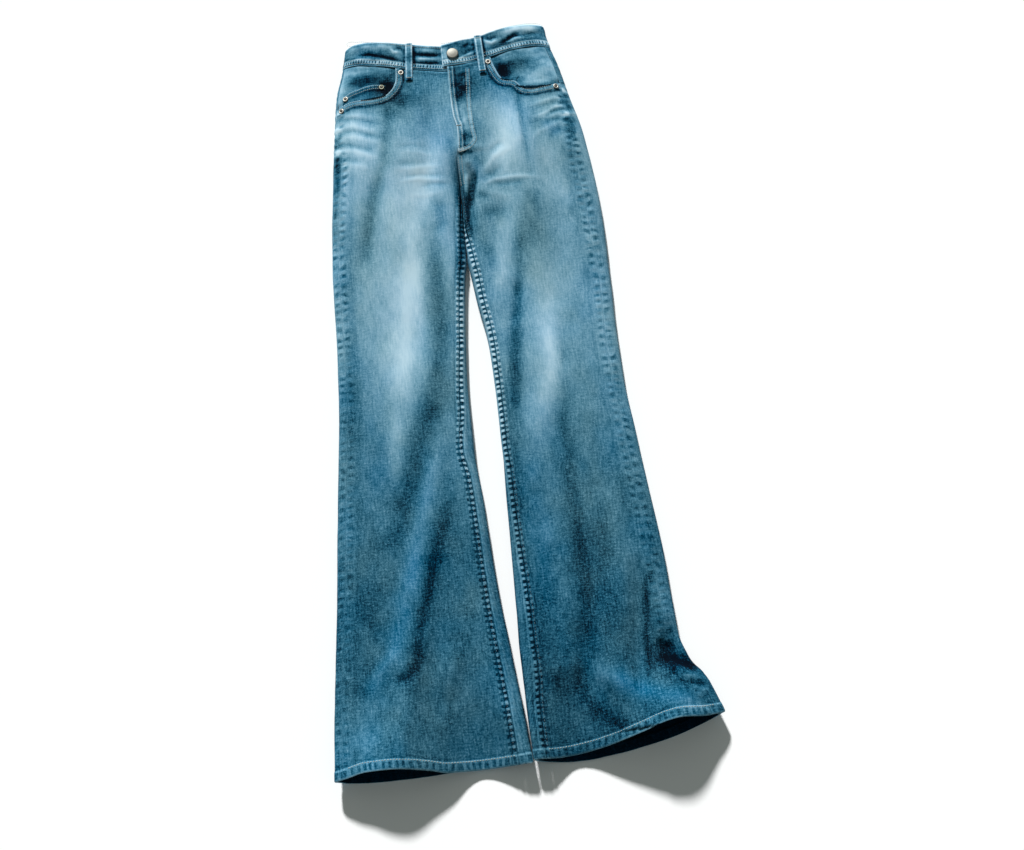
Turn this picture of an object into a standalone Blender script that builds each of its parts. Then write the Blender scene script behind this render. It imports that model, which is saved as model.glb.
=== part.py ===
"""High-rise flared jeans, laid on their back on a flat surface.

The frame is the garment's own: +Y runs from the hems to the waist, +Z is up and away from the
surface, and the origin is on the surface, under the middle of the garment's box. Sizes are in
millimetres until they reach a mesh. A plan position is (out, y): out is the distance from the
centre line towards one side, y the distance above the crotch fork.
"""

import math

import bmesh
import bpy
from mathutils import Vector

MM = 0.001

# Driving dimensions, millimetres.
CLOTH = 1.3              # one layer of denim
HEM_CLOTH = 3.0          # the hem, turned twice
HEM_DEPTH = 13.0
BAND_CLOTH = 2.6         # the waistband, two layers
BAND_PROUD = 0.7         # how far the waistband stands above the panels
LOOP_CLOTH = 2.0
LOOP_WIDTH = 10.0
PATCH_CLOTH = 1.4        # back pockets
COIN_CLOTH = 1.2
FACING_CLOTH = 1.0
GAP = 0.3                # between pieces that meet or lie on each other
FLY_RAISE = CLOTH + GAP  # the right front passes over the left at the fly
BAND_RAISE = BAND_CLOTH + GAP + 0.1
HEM_LINE = -815.0        # height of a level hem
WAIST_LINE = 190.0       # height of the waistband seam at the front
BAND_BACK_TOP = 232.0    # height of the waistband's top at the centre back
FORK_BLEND = 62.0        # height above the fork at which both halves share one hollow
FLY_FROM = 46.0          # height above which the right front passes over the left
FLY_LAP = (26.0, 52.0)   # out positions between which the lap comes down again
BAND_END_FROM = 172.0    # height above which it also passes over the waistband's left end
BAND_LAP = (20.0, 44.0)  # the same for the waistband's right end
CENTRE_SEAM_ABOVE = 34.0 # height above which a front ends at the fly, not at its seam
FOLD_REACH = 230.0       # length above the hem over which rows ease into its line

LEFT, RIGHT = -1, 1      # as seen from above, waist at the top

# Outline of each half, from the centre line out to the folded side edge.
# columns: y, outer edge, inner edge
OUTLINE = {
    LEFT: (
        (250, 142.5, 0), (204, 153, 0), (163, 164, 0), (98, 172, 0), (30, 180, 0), (-10, 184, 0.4),
        (-60, 188.5, 1.2), (-112, 192, 2.2), (-135, 192.5, 6), (-150, 193, 8), (-230, 195.3, 15.5),
        (-315, 199.6, 21), (-390, 206.3, 21.5), (-450, 212.5, 17.8), (-560, 222, 12), (-660, 231.8, 3.5),
        (-735, 239, -3.5), (-820, 245, -9),
    ),
    RIGHT: (
        (250, 149, 0), (219, 154, 0), (184, 163, 0), (143, 171, 0), (71, 186, 0), (25, 191, 0),
        (-10, 194, 0.4), (-60, 196, -0.4), (-112, 196.3, -1.4), (-135, 195.5, 1), (-178, 194.7, 5.5),
        (-222, 193.5, 12), (-264, 193.7, 15.5), (-322, 195, 17), (-390, 200.5, 16.2), (-470, 207, 14),
        (-555, 213.7, 12), (-635, 216.5, 9.5), (-670, 217.5, 8), (-700, 226, 8), (-725, 242, 8.5),
        (-750, 253, 8.5), (-780, 262, 9), (-820, 268.5, 10.7),
    ),
}

# Where the seams lie on top, measured in from the folded edges.
# columns: y, inset
OUTSEAM = {
    LEFT: (
        (250, 3), (146, 3), (112, 3.5), (90, 5), (64, 9.5), (43, 12.4), (20, 12.4), (-6, 11), (-40, 9.8),
        (-110, 10), (-230, 10.5), (-315, 12.5), (-390, 12.5), (-430, 12), (-545, 12), (-660, 10), (-820, 11),
    ),
    RIGHT: (
        (250, 8), (170, 8), (135, 9), (116, 12.4), (94, 15), (73, 18.5), (48, 21.5), (12, 23.4), (-20, 22.5),
        (-60, 21), (-104, 20), (-137, 17.5), (-162, 15.5), (-190, 15.5), (-260, 17), (-340, 16.5),
        (-405, 17.5), (-470, 18.5), (-555, 19), (-610, 16.5), (-660, 17), (-700, 25), (-741, 21), (-820, 18),
    ),
}
INSEAM = {
    LEFT: (
        (250, 0), (0, 0), (-60, 5), (-110, 8), (-230, 9), (-315, 12), (-390, 15), (-430, 11), (-545, 13),
        (-660, 16), (-820, 18),
    ),
    RIGHT: (
        (250, 0), (9, 0), (-50, 1), (-126, 10), (-210, 9), (-310, 7), (-390, 7), (-422, 9), (-505, 12),
        (-634, 19), (-700, 21), (-741, 18), (-820, 16),
    ),
}

# How the cloth lies over itself.
# columns: y, loft, edge height, shoulder width on top, roll width underneath
LIE = (
    (250, 15, 6, 30, 12), (204, 17, 6.5, 34, 13), (140, 23, 7.5, 44, 15), (60, 25, 8, 48, 17),
    (0, 22, 8, 44, 15), (-100, 19, 7.5, 40, 14), (-250, 17, 7, 36, 13), (-450, 18, 7.5, 38, 14),
    (-600, 20, 8.5, 42, 18), (-700, 23, 11, 46, 26), (-770, 27, 16, 50, 38), (-820, 29, 20, 52, 44),
)

# Waistband seam and waistband top, the same back and front.
# columns: out, seam height, top height
WAIST = {
    LEFT: (
        (-30, 193, 237), (-12, 189, 232), (0, 186.2, 229), (24, 189.6, 232.8), (43, 193, 236.3),
        (56, 195.6, 239), (73, 200.5, 243), (87, 204, 245.8), (109, 207.5, 248), (131, 211, 247),
        (146, 211, 242), (160, 210, 238),
    ),
    RIGHT: (
        (-30, 187, 224), (0, 192.5, 230), (18, 193.4, 233.5), (35, 196, 237), (48, 199, 239.5),
        (57, 201.5, 241.5), (69, 204, 245.5), (86, 208.6, 249.5), (103, 212, 252), (120, 213.4, 252.4),
        (136, 214, 251.5), (152, 212.5, 250), (165, 212, 249.5),
    ),
}

# Hem line of the front and of the back.
# columns: out, front, back
HEMS = {
    LEFT: (
        (-12, -817, -817), (13, -818, -816), (60, -818, -817), (99, -818, -816.5), (123, -813.5, -817.5),
        (152, -809.5, -818), (175, -808, -818), (203, -807.5, -817), (230, -812, -815), (243, -813.5, -813.5),
        (250, -814, -814),
    ),
    RIGHT: (
        (6, -814, -814), (38, -814.5, -818), (61, -813, -820), (80, -811, -820), (107, -807, -817.5),
        (130, -802, -815), (153, -796, -811), (184, -787.5, -805), (205, -785, -799.5), (228, -785, -792),
        (253, -782.5, -783.5), (262, -780.5, -780.5), (270, -780, -780),
    ),
}

# Long folds. Each is a ridge or, with a negative height, a trough down one half.
# columns: y, out, height, width towards the side, width towards the centre
FOLDS = {
    LEFT: (
        ((-420, 50, 0, 20, 14), (-500, 76, 3, 26, 13), (-590, 103, 5, 30, 14), (-680, 128, 9, 34, 16),
         (-740, 146, 9, 40, 24), (-780, 166, 13, 44, 36), (-820, 174, 17, 54, 40)),
        ((-640, 70, 0, 22, 22), (-720, 66, -7, 30, 32), (-820, 58, -23, 46, 56)),
        ((-650, 66, 0, 26, 16), (-690, 80, 4, 26, 14), (-730, 88, 0, 26, 16)),
        ((160, 92, 0, 26, 26), (80, 92, 3.5, 30, 30), (-60, 100, 3, 26, 26), (-200, 108, 0, 24, 24)),
        ((-190, 62, 0, 18, 18), (-280, 66, 2.5, 20, 20), (-400, 88, 0, 20, 20)),
        ((150, 34, 0, 12, 12), (80, 36, -3, 13, 13), (10, 46, -2, 14, 14), (-60, 60, 0, 14, 14)),
    ),
    RIGHT: (
        ((-560, 176, 0, 12, 16), (-620, 172, -6, 12, 16), (-690, 166, -7, 14, 18), (-750, 160, 0, 14, 18)),
        ((-600, 92, 0, 14, 14), (-660, 92, -5, 14, 15), (-720, 98, -6, 16, 20), (-790, 122, 0, 18, 22)),
        ((-560, 132, 0, 24, 22), (-640, 134, 6, 26, 24), (-720, 136, 8, 26, 24), (-790, 150, 3, 26, 24)),
        ((-690, 205, 0, 34, 30), (-745, 200, 14, 34, 36), (-820, 186, 34, 46, 50)),
        ((-700, 60, 0, 40, 30), (-820, 66, -21, 50, 42)),
        ((-648, 214, 0, 14, 16), (-690, 206, -9, 14, 20), (-722, 214, 0, 14, 18)),
        ((170, 100, 0, 26, 26), (60, 96, 4, 30, 28), (-60, 100, 3, 26, 26), (-190, 96, 0, 24, 24)),
        ((-170, 74, 0, 18, 18), (-270, 80, 3, 20, 20), (-380, 84, 0, 20, 20)),
        ((34, 15, 0, 5, 5), (6, 17, -7, 6, 5), (-30, 14, -6, 6, 5), (-64, 12, 0, 6, 5)),
        ((150, 56, 0, 12, 12), (60, 60, -3, 13, 13), (-60, 62, -2.5, 14, 14), (-150, 56, 0, 14, 14)),
    ),
}

# Pocket mouths, from the waistband to the outseam.
# columns: out, y
MOUTHS = {
    LEFT: (
        (74, 200.4), (74.5, 186), (75.5, 177), (78.5, 169), (85, 160), (93.5, 153.8), (104, 151), (116, 150),
        (132, 150.5), (144, 150), (154, 147), (163.5, 142.5),
    ),
    RIGHT: (
        (65, 202.8), (66.5, 192), (69, 183.5), (73.5, 171), (81, 161), (89, 158.8), (96, 157), (101, 151.5),
        (105.5, 145.5), (111.5, 142), (121, 141.5), (134, 143.5), (150, 146), (161.5, 148),
    ),
}

# Fly: where each front ends at the centre, above the crotch.
# columns: y, left front, right front
FLY = (
    (200, -14, 2), (140, -14, 0.5), (110, -14, 1.5), (88, -14, 5), (66, -12, 4.2), (56, -2.9, 3.2),
    (46, -0.9, 1.2), (34, 0.15, 0.15), (0, 0.15, 0.15), (-820, 0.15, 0.15),
)

# Yoke seam on the back. columns: out, y
YOKE = ((0, 126), (80, 138), (190, 152))

# Lift of the back off the surface, for the patches and loops under it. columns: y, lift
LIFT = (
    (250, LOOP_CLOTH + GAP + BAND_PROUD), (186, LOOP_CLOTH + GAP + BAND_PROUD),
    (166, PATCH_CLOTH + GAP), (-47, PATCH_CLOTH + GAP), (-110, 0), (-830, 0),
)

# Belt loops. columns: name, half, out at the lower end, out at the upper end
LOOPS_ON_TOP = (("belt_loop_front_left", LEFT, 56.0, 51.0), ("belt_loop_front_right", RIGHT, 52.0, 50.5))
# columns: name, half, out
LOOPS_BELOW = (
    ("belt_loop_back_left", LEFT, 104.0), ("belt_loop_back_centre", RIGHT, 0.0),
    ("belt_loop_back_right", RIGHT, 104.0),
)
LOOP_FROM, LOOP_BACK_TO = 175.0, 234.0

# Back pockets. columns: y, half width, drop at the middle
PATCH = ((118, 69, 0), (84, 67.5, 0), (44, 65.5, 0), (4, 63, 0), (-6, 62, 26))
PATCH_MIDDLE = 90.0

# Coin pocket on the left facing. columns: out, lower edge (hidden), upper edge
COIN = (
    (91, 150, 173), (98, 147, 174.8), (106, 144.5, 175), (119.6, 143, 173), (130, 142, 169.5),
    (142, 141.5, 166.3), (149.5, 141, 162.3), (155.5, 140, 157),
)

# Rivets. columns: name, half, out, y, what they sit on
RIVETS = (
    ("rivet_waist_left", LEFT, 66.9, 191.0, "front"),
    ("rivet_waist_right", RIGHT, 61.6, 194.5, "front"),
    ("rivet_side_left", LEFT, 158.0, 138.0, "front"),
    ("rivet_side_right", RIGHT, 154.7, 142.2, "front"),
    ("rivet_coin_left", LEFT, 97.0, 170.0, "coin"),
    ("rivet_coin_right", LEFT, 150.5, 156.0, "coin"),
)
BUTTON_PLACE = (RIGHT, 11.0, 212.0)

# Turned profiles. columns: radius, height
BUTTON = ((6.6, 0.0), (8.2, 0.5), (8.7, 1.4), (8.3, 2.4), (6.2, 3.3), (3.2, 3.8))
RIVET = ((3.6, 0.0), (4.1, 0.5), (3.8, 1.0), (2.3, 1.2), (1.6, 1.7))

# Looks of the solids: colour, roughness, metallic
FINISH = {
    "denim": ((0.16, 0.30, 0.42), 0.85, 0.0),
    "denim_dark": ((0.09, 0.19, 0.30), 0.88, 0.0),
    "silver": ((0.72, 0.70, 0.64), 0.35, 1.0),
}


class Curve:
    """A smooth line through (position, value) pairs that never overshoots them."""

    def __init__(self, pairs):
        self.pairs = sorted(pairs)
        rises = [(b[1] - a[1]) / (b[0] - a[0]) for a, b in zip(self.pairs, self.pairs[1:])]
        self.slopes = [rises[0]]
        for before, after in zip(rises, rises[1:]):
            turning = before * after <= 0
            self.slopes.append(0.0 if turning else 2 * before * after / (before + after))
        self.slopes.append(rises[-1])

    def __call__(self, at):
        at = min(max(at, self.pairs[0][0]), self.pairs[-1][0])
        index = 0
        while index < len(self.pairs) - 2 and at > self.pairs[index + 1][0]:
            index += 1
        (start, low), (end, high) = self.pairs[index:index + 2]
        span = end - start
        t = (at - start) / span
        bend_in = self.slopes[index] * span
        bend_out = self.slopes[index + 1] * span
        keep = 2 * t**3 - 3 * t**2 + 1
        return (keep * low + (1 - keep) * high
                + (t**3 - 2 * t**2 + t) * bend_in + (t**3 - t**2) * bend_out)


def column(rows, index):
    return Curve([(row[0], row[index]) for row in rows])


outer_edge = {side: column(rows, 1) for side, rows in OUTLINE.items()}
inner_edge = {side: column(rows, 2) for side, rows in OUTLINE.items()}
outseam_inset = {side: column(rows, 1) for side, rows in OUTSEAM.items()}
inseam_inset = {side: column(rows, 1) for side, rows in INSEAM.items()}
waist_seam = {side: column(rows, 1) for side, rows in WAIST.items()}
waist_top = {side: column(rows, 2) for side, rows in WAIST.items()}
front_hem = {side: column(rows, 1) for side, rows in HEMS.items()}
back_hem = {side: column(rows, 2) for side, rows in HEMS.items()}
fly_end = {LEFT: column(FLY, 1), RIGHT: column(FLY, 2)}
loft_at, edge_at, shoulder_at, roll_at = (column(LIE, index) for index in (1, 2, 3, 4))
yoke_at = column(YOKE, 1)
lift_at = column(LIFT, 1)
folds = {
    side: [
        ([row[0] for row in fold], [column(fold, index) for index in (1, 2, 3, 4)])
        for fold in listed
    ]
    for side, listed in FOLDS.items()
}


def ease(value):
    """0 below 0, 1 above 1, and a smooth step between."""
    value = min(max(value, 0.0), 1.0)
    return value * value * (3 - 2 * value)


def mix(first, second, share):
    return first + (second - first) * share


def rounded(distance, width):
    """0 at a folded edge, rising on a quarter ellipse to 1 at this width from it."""
    reach = min(max(distance / width, 0.0), 1.0)
    return math.sqrt(1 - (1 - reach) ** 2)


def fold_height(side, out, y):
    """Sum of the ridges and troughs at a plan position."""
    height = 0.0
    for ends, (where, rise, outward, inward) in folds[side]:
        if not min(ends) - 1 < y < max(ends) + 1:
            continue
        across = out - where(y)
        width = outward(y) if across > 0 else inward(y)
        height += rise(y) * math.exp(-((across / width) ** 2))
    return height


def crotch_share(y):
    """1 where a leg is a tube of its own, 0 where both halves share one hollow."""
    return ease((FORK_BLEND - y) / FORK_BLEND)


def inner_of(side, y):
    return max(inner_edge[side](y), GAP / 2) if y > -10 else inner_edge[side](y)


def top_height(side, out, y):
    """Height of the garment's upper face."""
    loft = loft_at(y) + fold_height(side, out, y)
    edge = edge_at(y)
    shoulder = shoulder_at(y)
    fall_out = 1 - rounded(outer_edge[side](y) - out, shoulder)
    fall_in = 1 - rounded(out - inner_of(side, y), 0.7 * shoulder)
    return loft - (loft - edge) * (fall_out + crotch_share(y) * fall_in)


def under_height(side, out, y):
    """Height of the garment's lower face."""
    lift = lift_at(y)
    roll = roll_at(y)
    rise_out = 1 - rounded(outer_edge[side](y) - out, roll)
    rise_in = 1 - rounded(out - inner_of(side, y), roll)
    return lift + (edge_at(y) - lift) * (rise_out + crotch_share(y) * rise_in)


def top_point(side, out, y):
    return Vector((side * out, y, top_height(side, out, y)))


def wrap_point(side, along, y):
    """A point on the line round one half: along runs in mm from the outer folded edge, negative
    on top of it, then underneath to the inner edge, and below the fork on up over that."""
    width = outer_edge[side](y) - inner_of(side, y)
    if along < 0:
        return top_point(side, outer_edge[side](y) + along, y)
    if along > width and y <= 0:
        return top_point(side, inner_of(side, y) + along - width, y)
    out = outer_edge[side](y) - along
    return Vector((side * out, y, under_height(side, out, y)))


def facing_out(side, point, first, y, step=0.25):
    """Outward normal of a surface that is given as point(side, first, y)."""
    across = point(side, first + step, y) - point(side, first - step, y)
    down = point(side, first, y + 1.0) - point(side, first, y - 1.0)
    return (across.cross(down) * side).normalized()


def slide(side, along, y, distance):
    """The place on the wrap line that lies this far, positive or negative, from along."""
    start = wrap_point(side, along, y)
    near, far = 0.0, math.copysign(3.0, distance)
    for _ in range(24):
        middle = (near + far) / 2
        if (wrap_point(side, along + middle, y) - start).length < abs(distance):
            near = middle
        else:
            far = middle
    return along + near


def half_gap(y):
    """Half the gap at a seam; it opens a little where four panels meet at the crotch."""
    return GAP / 2 + 0.2 * math.exp(-((y / 18) ** 2))


def width_of(side, y):
    return outer_edge[side](y) - inner_of(side, y)


def outseam_place(side, y, gap):
    return slide(side, -outseam_inset[side](y), y, gap)


def inseam_place(side, y, gap):
    return slide(side, width_of(side, y) + inseam_inset[side](y), y, gap)


def front_start(side, y):
    """Out position of a front panel's edge along the outseam."""
    return outer_edge[side](y) + outseam_place(side, y, -GAP / 2)


def front_end(side, y):
    """Out position of a front panel's edge along the centre or the inseam."""
    if y > CENTRE_SEAM_ABOVE:
        return fly_end[side](y)
    return inner_of(side, y) + inseam_place(side, y, half_gap(y)) - width_of(side, y)


def settle(bend, out_at, y):
    """The height and out position where a bent row crosses a line that runs down the garment."""
    for _ in range(6):
        out = out_at(y)
        y = bend(out)
    return out, y


def spaced(start, end, count):
    """count positions from start towards end, without end."""
    return [mix(start, end, index / count) for index in range(count)]


LEG_ROWS = (
    spaced(132, 66, 8) + [66, 56, 46, 34] + spaced(22, -60, 6) + spaced(-60, -640, 14)
    + spaced(-640, HEM_LINE + HEM_DEPTH + 0.6, 9)
    + [HEM_LINE + HEM_DEPTH + 0.6, HEM_LINE + HEM_DEPTH, HEM_LINE]
)
FRONT_COLUMNS = 13
MOUTH_ROWS = 12


def hem_bend(row, hem, out):
    """Height of a row where it passes out, as the rows ease from level to the hem line."""
    return row + ease((HEM_LINE + FOLD_REACH - row) / FOLD_REACH) * (hem(out) - HEM_LINE)


def mouth_line(side, count):
    """Points along a pocket mouth, spaced by a smooth line through its table."""
    rows = MOUTHS[side]
    lengths = [0.0]
    for first, second in zip(rows, rows[1:]):
        lengths.append(lengths[-1] + math.dist(first, second))
    out_at = Curve([(length, row[0]) for length, row in zip(lengths, rows)])
    y_at = Curve([(length, row[1]) for length, row in zip(lengths, rows)])
    return [(out_at(lengths[-1] * i / count), y_at(lengths[-1] * i / count)) for i in range(count + 1)]


def closeness(share):
    """Columns stand closer together towards both seams."""
    return 0.55 * share + 0.45 * (0.5 - 0.5 * math.cos(math.pi * share))


def lap_share(out, lap):
    """1 where a lap lies full over its neighbour, easing to 0 between two out positions."""
    return 1 - ease((out - lap[0]) / (lap[1] - lap[0]))


def fly_raise(side, out, y):
    if side == LEFT:
        return 0.0
    over_band = 1.15 * BAND_PROUD * ease((y - BAND_END_FROM) / 10)
    return (FLY_RAISE * ease((y - FLY_FROM) / 10) + over_band) * lap_share(out, FLY_LAP)


def front_plan(side):
    """Plan grid of a front panel, from the waistband seam to the hem."""
    shares = [closeness(j / FRONT_COLUMNS) for j in range(FRONT_COLUMNS + 1)]
    grid = []
    for index, (out, y) in enumerate(mouth_line(side, MOUTH_ROWS)):
        centre_y = mix(WAIST_LINE - 3, LEG_ROWS[0] + 4, index / MOUTH_ROWS)
        line = []
        for share in shares:
            place = mix(out, fly_end[side](centre_y), share)
            near_mouth = (1 - share) ** 4
            level = mix(centre_y, y, near_mouth)
            top_share = (1 - index / MOUTH_ROWS) ** (2 + 10 * near_mouth)
            line.append((place, mix(level, waist_seam[side](place) - GAP, top_share)))
        grid.append(line)
    for row in LEG_ROWS:
        def bend(out, row=row):
            return hem_bend(row, front_hem[side], out)

        start, start_y = settle(bend, lambda y: front_start(side, y), row)
        end, end_y = settle(bend, lambda y: front_end(side, y), row)
        line = [(mix(start, end, share), bend(mix(start, end, share))) for share in shares]
        line[0], line[-1] = (start, start_y), (end, end_y)
        grid.append(line)
    return grid


WRAP_MIDDLE = 6          # spans across the flat of the back
WRAP_LAST = 10 + WRAP_MIDDLE


def wrap_place(side, index, y):
    """Place of one of the back's columns on the wrap line; they run from outseam to inseam."""
    roll = roll_at(y)
    width = width_of(side, y)
    if index < 2:
        return outseam_place(side, y, GAP / 2) * (1.0, 0.4)[index]
    if index < 5:
        return roll * (0.0, 0.08, 0.35)[index - 2]
    if index <= 5 + WRAP_MIDDLE:
        return mix(roll, width - roll, (index - 5) / WRAP_MIDDLE)
    if index == WRAP_LAST:
        return inseam_place(side, y, -half_gap(y))
    place = index - 6 - WRAP_MIDDLE
    inset = inseam_inset[side](y)
    tube = (-0.35 * roll, -0.08 * roll, 0.0, 0.45 * inset)[place]
    open_end = (-0.7 * roll, -0.45 * roll, -0.25 * roll, -0.1 * roll)[place]
    return width + mix(open_end, tube, ease(inset / 6))


def hem_wall(row):
    return HEM_CLOTH if row < HEM_LINE + HEM_DEPTH + 0.3 else CLOTH


def bare_object(name, mesh, finish):
    obj = bpy.data.objects.new(name, mesh)
    bpy.context.scene.collection.objects.link(obj)
    mesh.materials.append(materials[finish])
    mesh.shade_smooth()
    mesh.set_sharp_from_angle(angle=math.radians(50))
    return obj


def sheet(name, outer, inner, finish):
    """A closed wall between two grids of points, joined round its rim."""
    builder = bmesh.new()
    faces = [[[builder.verts.new(point * MM) for point in line] for line in grid] for grid in (outer, inner)]
    rows, columns = len(outer), len(outer[0])
    for skin in faces:
        for i in range(rows - 1):
            for j in range(columns - 1):
                builder.faces.new((skin[i][j], skin[i][j + 1], skin[i + 1][j + 1], skin[i + 1][j]))
    rim = [(0, j) for j in range(columns)] + [(i, columns - 1) for i in range(1, rows)]
    rim += [(rows - 1, j) for j in range(columns - 2, -1, -1)] + [(i, 0) for i in range(rows - 2, 0, -1)]
    for (i, j), (k, m) in zip(rim, rim[1:] + rim[:1]):
        builder.faces.new((faces[0][i][j], faces[0][k][m], faces[1][k][m], faces[1][i][j]))
    bmesh.ops.recalc_face_normals(builder, faces=builder.faces)
    mesh = bpy.data.meshes.new(name)
    builder.to_mesh(mesh)
    builder.free()
    return bare_object(name, mesh, finish)


def top_sheet(name, side, plan, finish, raised, wall):
    """A sheet over the garment's upper face: raised(out, y) is its outer skin, wall(i) its thickness."""
    outer, inner = [], []
    for i, line in enumerate(plan):
        normals = [facing_out(side, top_point, out, y) for out, y in line]
        skin = [top_point(side, out, y) + n * raised(out, y) for (out, y), n in zip(line, normals)]
        outer.append(skin)
        inner.append([point - n * wall(i) for point, n in zip(skin, normals)])
    return sheet(name, outer, inner, finish)


def make_front(name, side):
    plan = front_plan(side)
    depths = [CLOTH] * (MOUTH_ROWS + 1) + [hem_wall(row) for row in LEG_ROWS]
    return top_sheet(
        name, side, plan, "denim",
        lambda out, y: fly_raise(side, out, y),
        lambda i: depths[i],
    )


def wrap_sheet(name, side, rows, finish):
    """A sheet round one half's back. A row is (level, bend, wall), and bend(out, on_top) is its height."""
    outer, inner = [], []
    for level, bend, wall in rows:
        skin, lining = [], []
        for index in range(WRAP_LAST + 1):
            y = level
            for _ in range(6):
                along = wrap_place(side, index, y)
                on_top = along < 0 or along > width_of(side, y)
                y = bend(abs(wrap_point(side, along, y).x), on_top)
            along = wrap_place(side, index, y)
            point = wrap_point(side, along, y)
            skin.append(point)
            lining.append(point - facing_out(side, wrap_point, along, y) * wall)
        outer.append(skin)
        inner.append(lining)
    return sheet(name, outer, inner, finish)


def back_waist(side, out):
    """Height of the waistband seam on the back, a straight line from the centre to the side edge."""
    edge = outer_edge[side](WAIST_LINE + 12)
    return mix(WAIST_LINE, waist_seam[side](edge), out / edge)


def make_back(name, side):
    rows = []
    for row in LEG_ROWS:
        def bend(out, on_top, row=row):
            hem = front_hem[side] if on_top else back_hem[side]
            to_yoke = ease((row - LEG_ROWS[0] + 90) / 90)
            return hem_bend(row, hem, out) + to_yoke * (yoke_at(out) - GAP / 2 - LEG_ROWS[0])

        rows.append((row, bend, hem_wall(row)))
    return wrap_sheet(name, side, rows, "denim")


def make_yoke(name, side):
    rows = []
    for share in (0.0, 0.33, 0.66, 1.0):
        def bend(out, on_top, share=share):
            seam = waist_seam[side](out) if on_top else back_waist(side, out)
            return mix(seam - GAP, yoke_at(out) + GAP / 2, share)

        rows.append((mix(WAIST_LINE, 140, share), bend, CLOTH))
    return wrap_sheet(name, side, rows, "denim")


def band_raise(side, out):
    """The right end of the waistband passes over the left end."""
    return 0.0 if side == LEFT else BAND_RAISE * lap_share(out, BAND_LAP)


BAND_UNDER = (112, 75, 38, 5)
BAND_EDGE = (14, 5, 1.2, 0, -2.5, -8, -18)      # places on the wrap line round a folded edge
BAND_STATIONS = (
    [(LEFT, "top", out) for out in (-22, -14, -6, 3, 14, 26, 40, 54, 70, 86, 102, 118)]
    + [(LEFT, "edge", along) for along in reversed(BAND_EDGE)]
    + [(LEFT, "under", out) for out in BAND_UNDER]
    + [(RIGHT, "under", out) for out in reversed(BAND_UNDER)]
    + [(RIGHT, "edge", along) for along in BAND_EDGE]
    + [(RIGHT, "top", out) for out in (122, 104, 86, 70, 54, 46, 38, 30, 21, 12, 3, -5)]
)


def band_place(side, kind, where, share):
    """Place on the wrap line and height of a point of the waistband; share runs from seam to top."""
    y = WAIST_LINE
    for _ in range(5):
        edge = outer_edge[side](y)
        along = {"top": where - edge, "under": edge - where, "edge": where}[kind]
        out = edge - abs(along)
        low = waist_seam[side](out) if along <= 0 else back_waist(side, out)
        high = waist_top[side](out) if along <= 0 else mix(BAND_BACK_TOP, waist_top[side](edge), out / edge)
        y = mix(low + GAP, high, share)
    return along, y


def make_waistband(name):
    """One strip from its left end at the centre, round the back, to its right end on top."""
    outer, inner = [], []
    for share in (0.0, 0.35, 0.7, 1.0):
        skin, lining = [], []
        for side, kind, where in BAND_STATIONS:
            along, y = band_place(side, kind, where, share)
            normal = facing_out(side, wrap_point, along, y)
            raised = band_raise(side, where) if kind == "top" else 0.0
            point = wrap_point(side, along, y) + normal * (BAND_PROUD + raised)
            skin.append(point)
            lining.append(point - normal * BAND_CLOTH)
        outer.append(skin)
        inner.append(lining)
    return sheet(name, outer, inner, "denim")


FACING_MOUTH_DEPTH = GAP + CLOTH + GAP + COIN_CLOTH + 0.3
FACING_UNDER = 11.0      # how far a facing runs on under the front
POCKET_GAPE = {LEFT: (90, 168, 2.5), RIGHT: (84, 170, 3.0)}


def facing_depth(side, place):
    """Depth of a facing's outer skin below the garment's upper face."""
    centre_out, centre_y, gape = POCKET_GAPE[side]
    away = ((place.x - centre_out) / 22) ** 2 + ((place.y - centre_y) / 16) ** 2
    risen = ease((past_mouth(side, place) - 3) / 30)
    return mix(FACING_MOUTH_DEPTH, 0.4, risen) + gape * math.exp(-away)


def past_mouth(side, place):
    """How far outside the pocket mouth a plan position lies; it is negative under the front."""
    line = [Vector(point) for point in mouth_line(side, 16)]
    nearest, sign = math.inf, 1
    for first, second in zip(line, line[1:]):
        run = second - first
        share = min(max((place - first).dot(run) / run.length_squared, 0.0), 1.0)
        away = (place - first - run * share).length
        if away < nearest:
            nearest, sign = away, math.copysign(1, run.cross(place - first))
    return nearest * sign


def facing_plan(side, count=16, across=7):
    """Plan grid from under the mouth's edge out to the waistband seam and the outseam."""
    mouth = mouth_line(side, count)
    end_y = mouth[-1][1]
    first_out = mouth[0][0]
    corner_y = waist_seam[side](150) - GAP
    corner_out = outer_edge[side](corner_y) + outseam_place(side, corner_y, -GAP)
    top_length = corner_out - first_out
    side_length = corner_y - end_y
    grid = []
    for index, (out, y) in enumerate(mouth):
        before = mouth[max(index - 1, 0)]
        after = mouth[min(index + 1, count)]
        run = Vector((after[0] - before[0], after[1] - before[1])).normalized()
        start = Vector((out, y)) + Vector((run.y, -run.x)) * FACING_UNDER
        reach = (top_length + side_length) * index / count
        if reach < top_length:
            end = Vector((first_out + reach, 0))
            end.y = waist_seam[side](end.x) - GAP
        else:
            end = Vector((0, corner_y - (reach - top_length)))
            end.x = outer_edge[side](end.y) + outseam_place(side, end.y, -GAP)
        line = []
        for step in range(across + 1):
            place = start.lerp(end, step / across)
            place.y = min(place.y, waist_seam[side](place.x) - GAP)
            line.append(place)
        grid.append(line)
    return grid


def facing_point(side, place, raised=0.0):
    """A point of a facing's outer skin, or raised above it, and the direction up from it."""
    normal = facing_out(side, top_point, place.x, place.y)
    return top_point(side, place.x, place.y) + normal * (raised - facing_depth(side, place)), normal


def make_facing(name, side):
    outer, inner = [], []
    for line in facing_plan(side):
        pairs = [facing_point(side, place) for place in line]
        outer.append([point for point, _ in pairs])
        inner.append([point - normal * FACING_CLOTH for point, normal in pairs])
    return sheet(name, outer, inner, "denim_dark")


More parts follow.
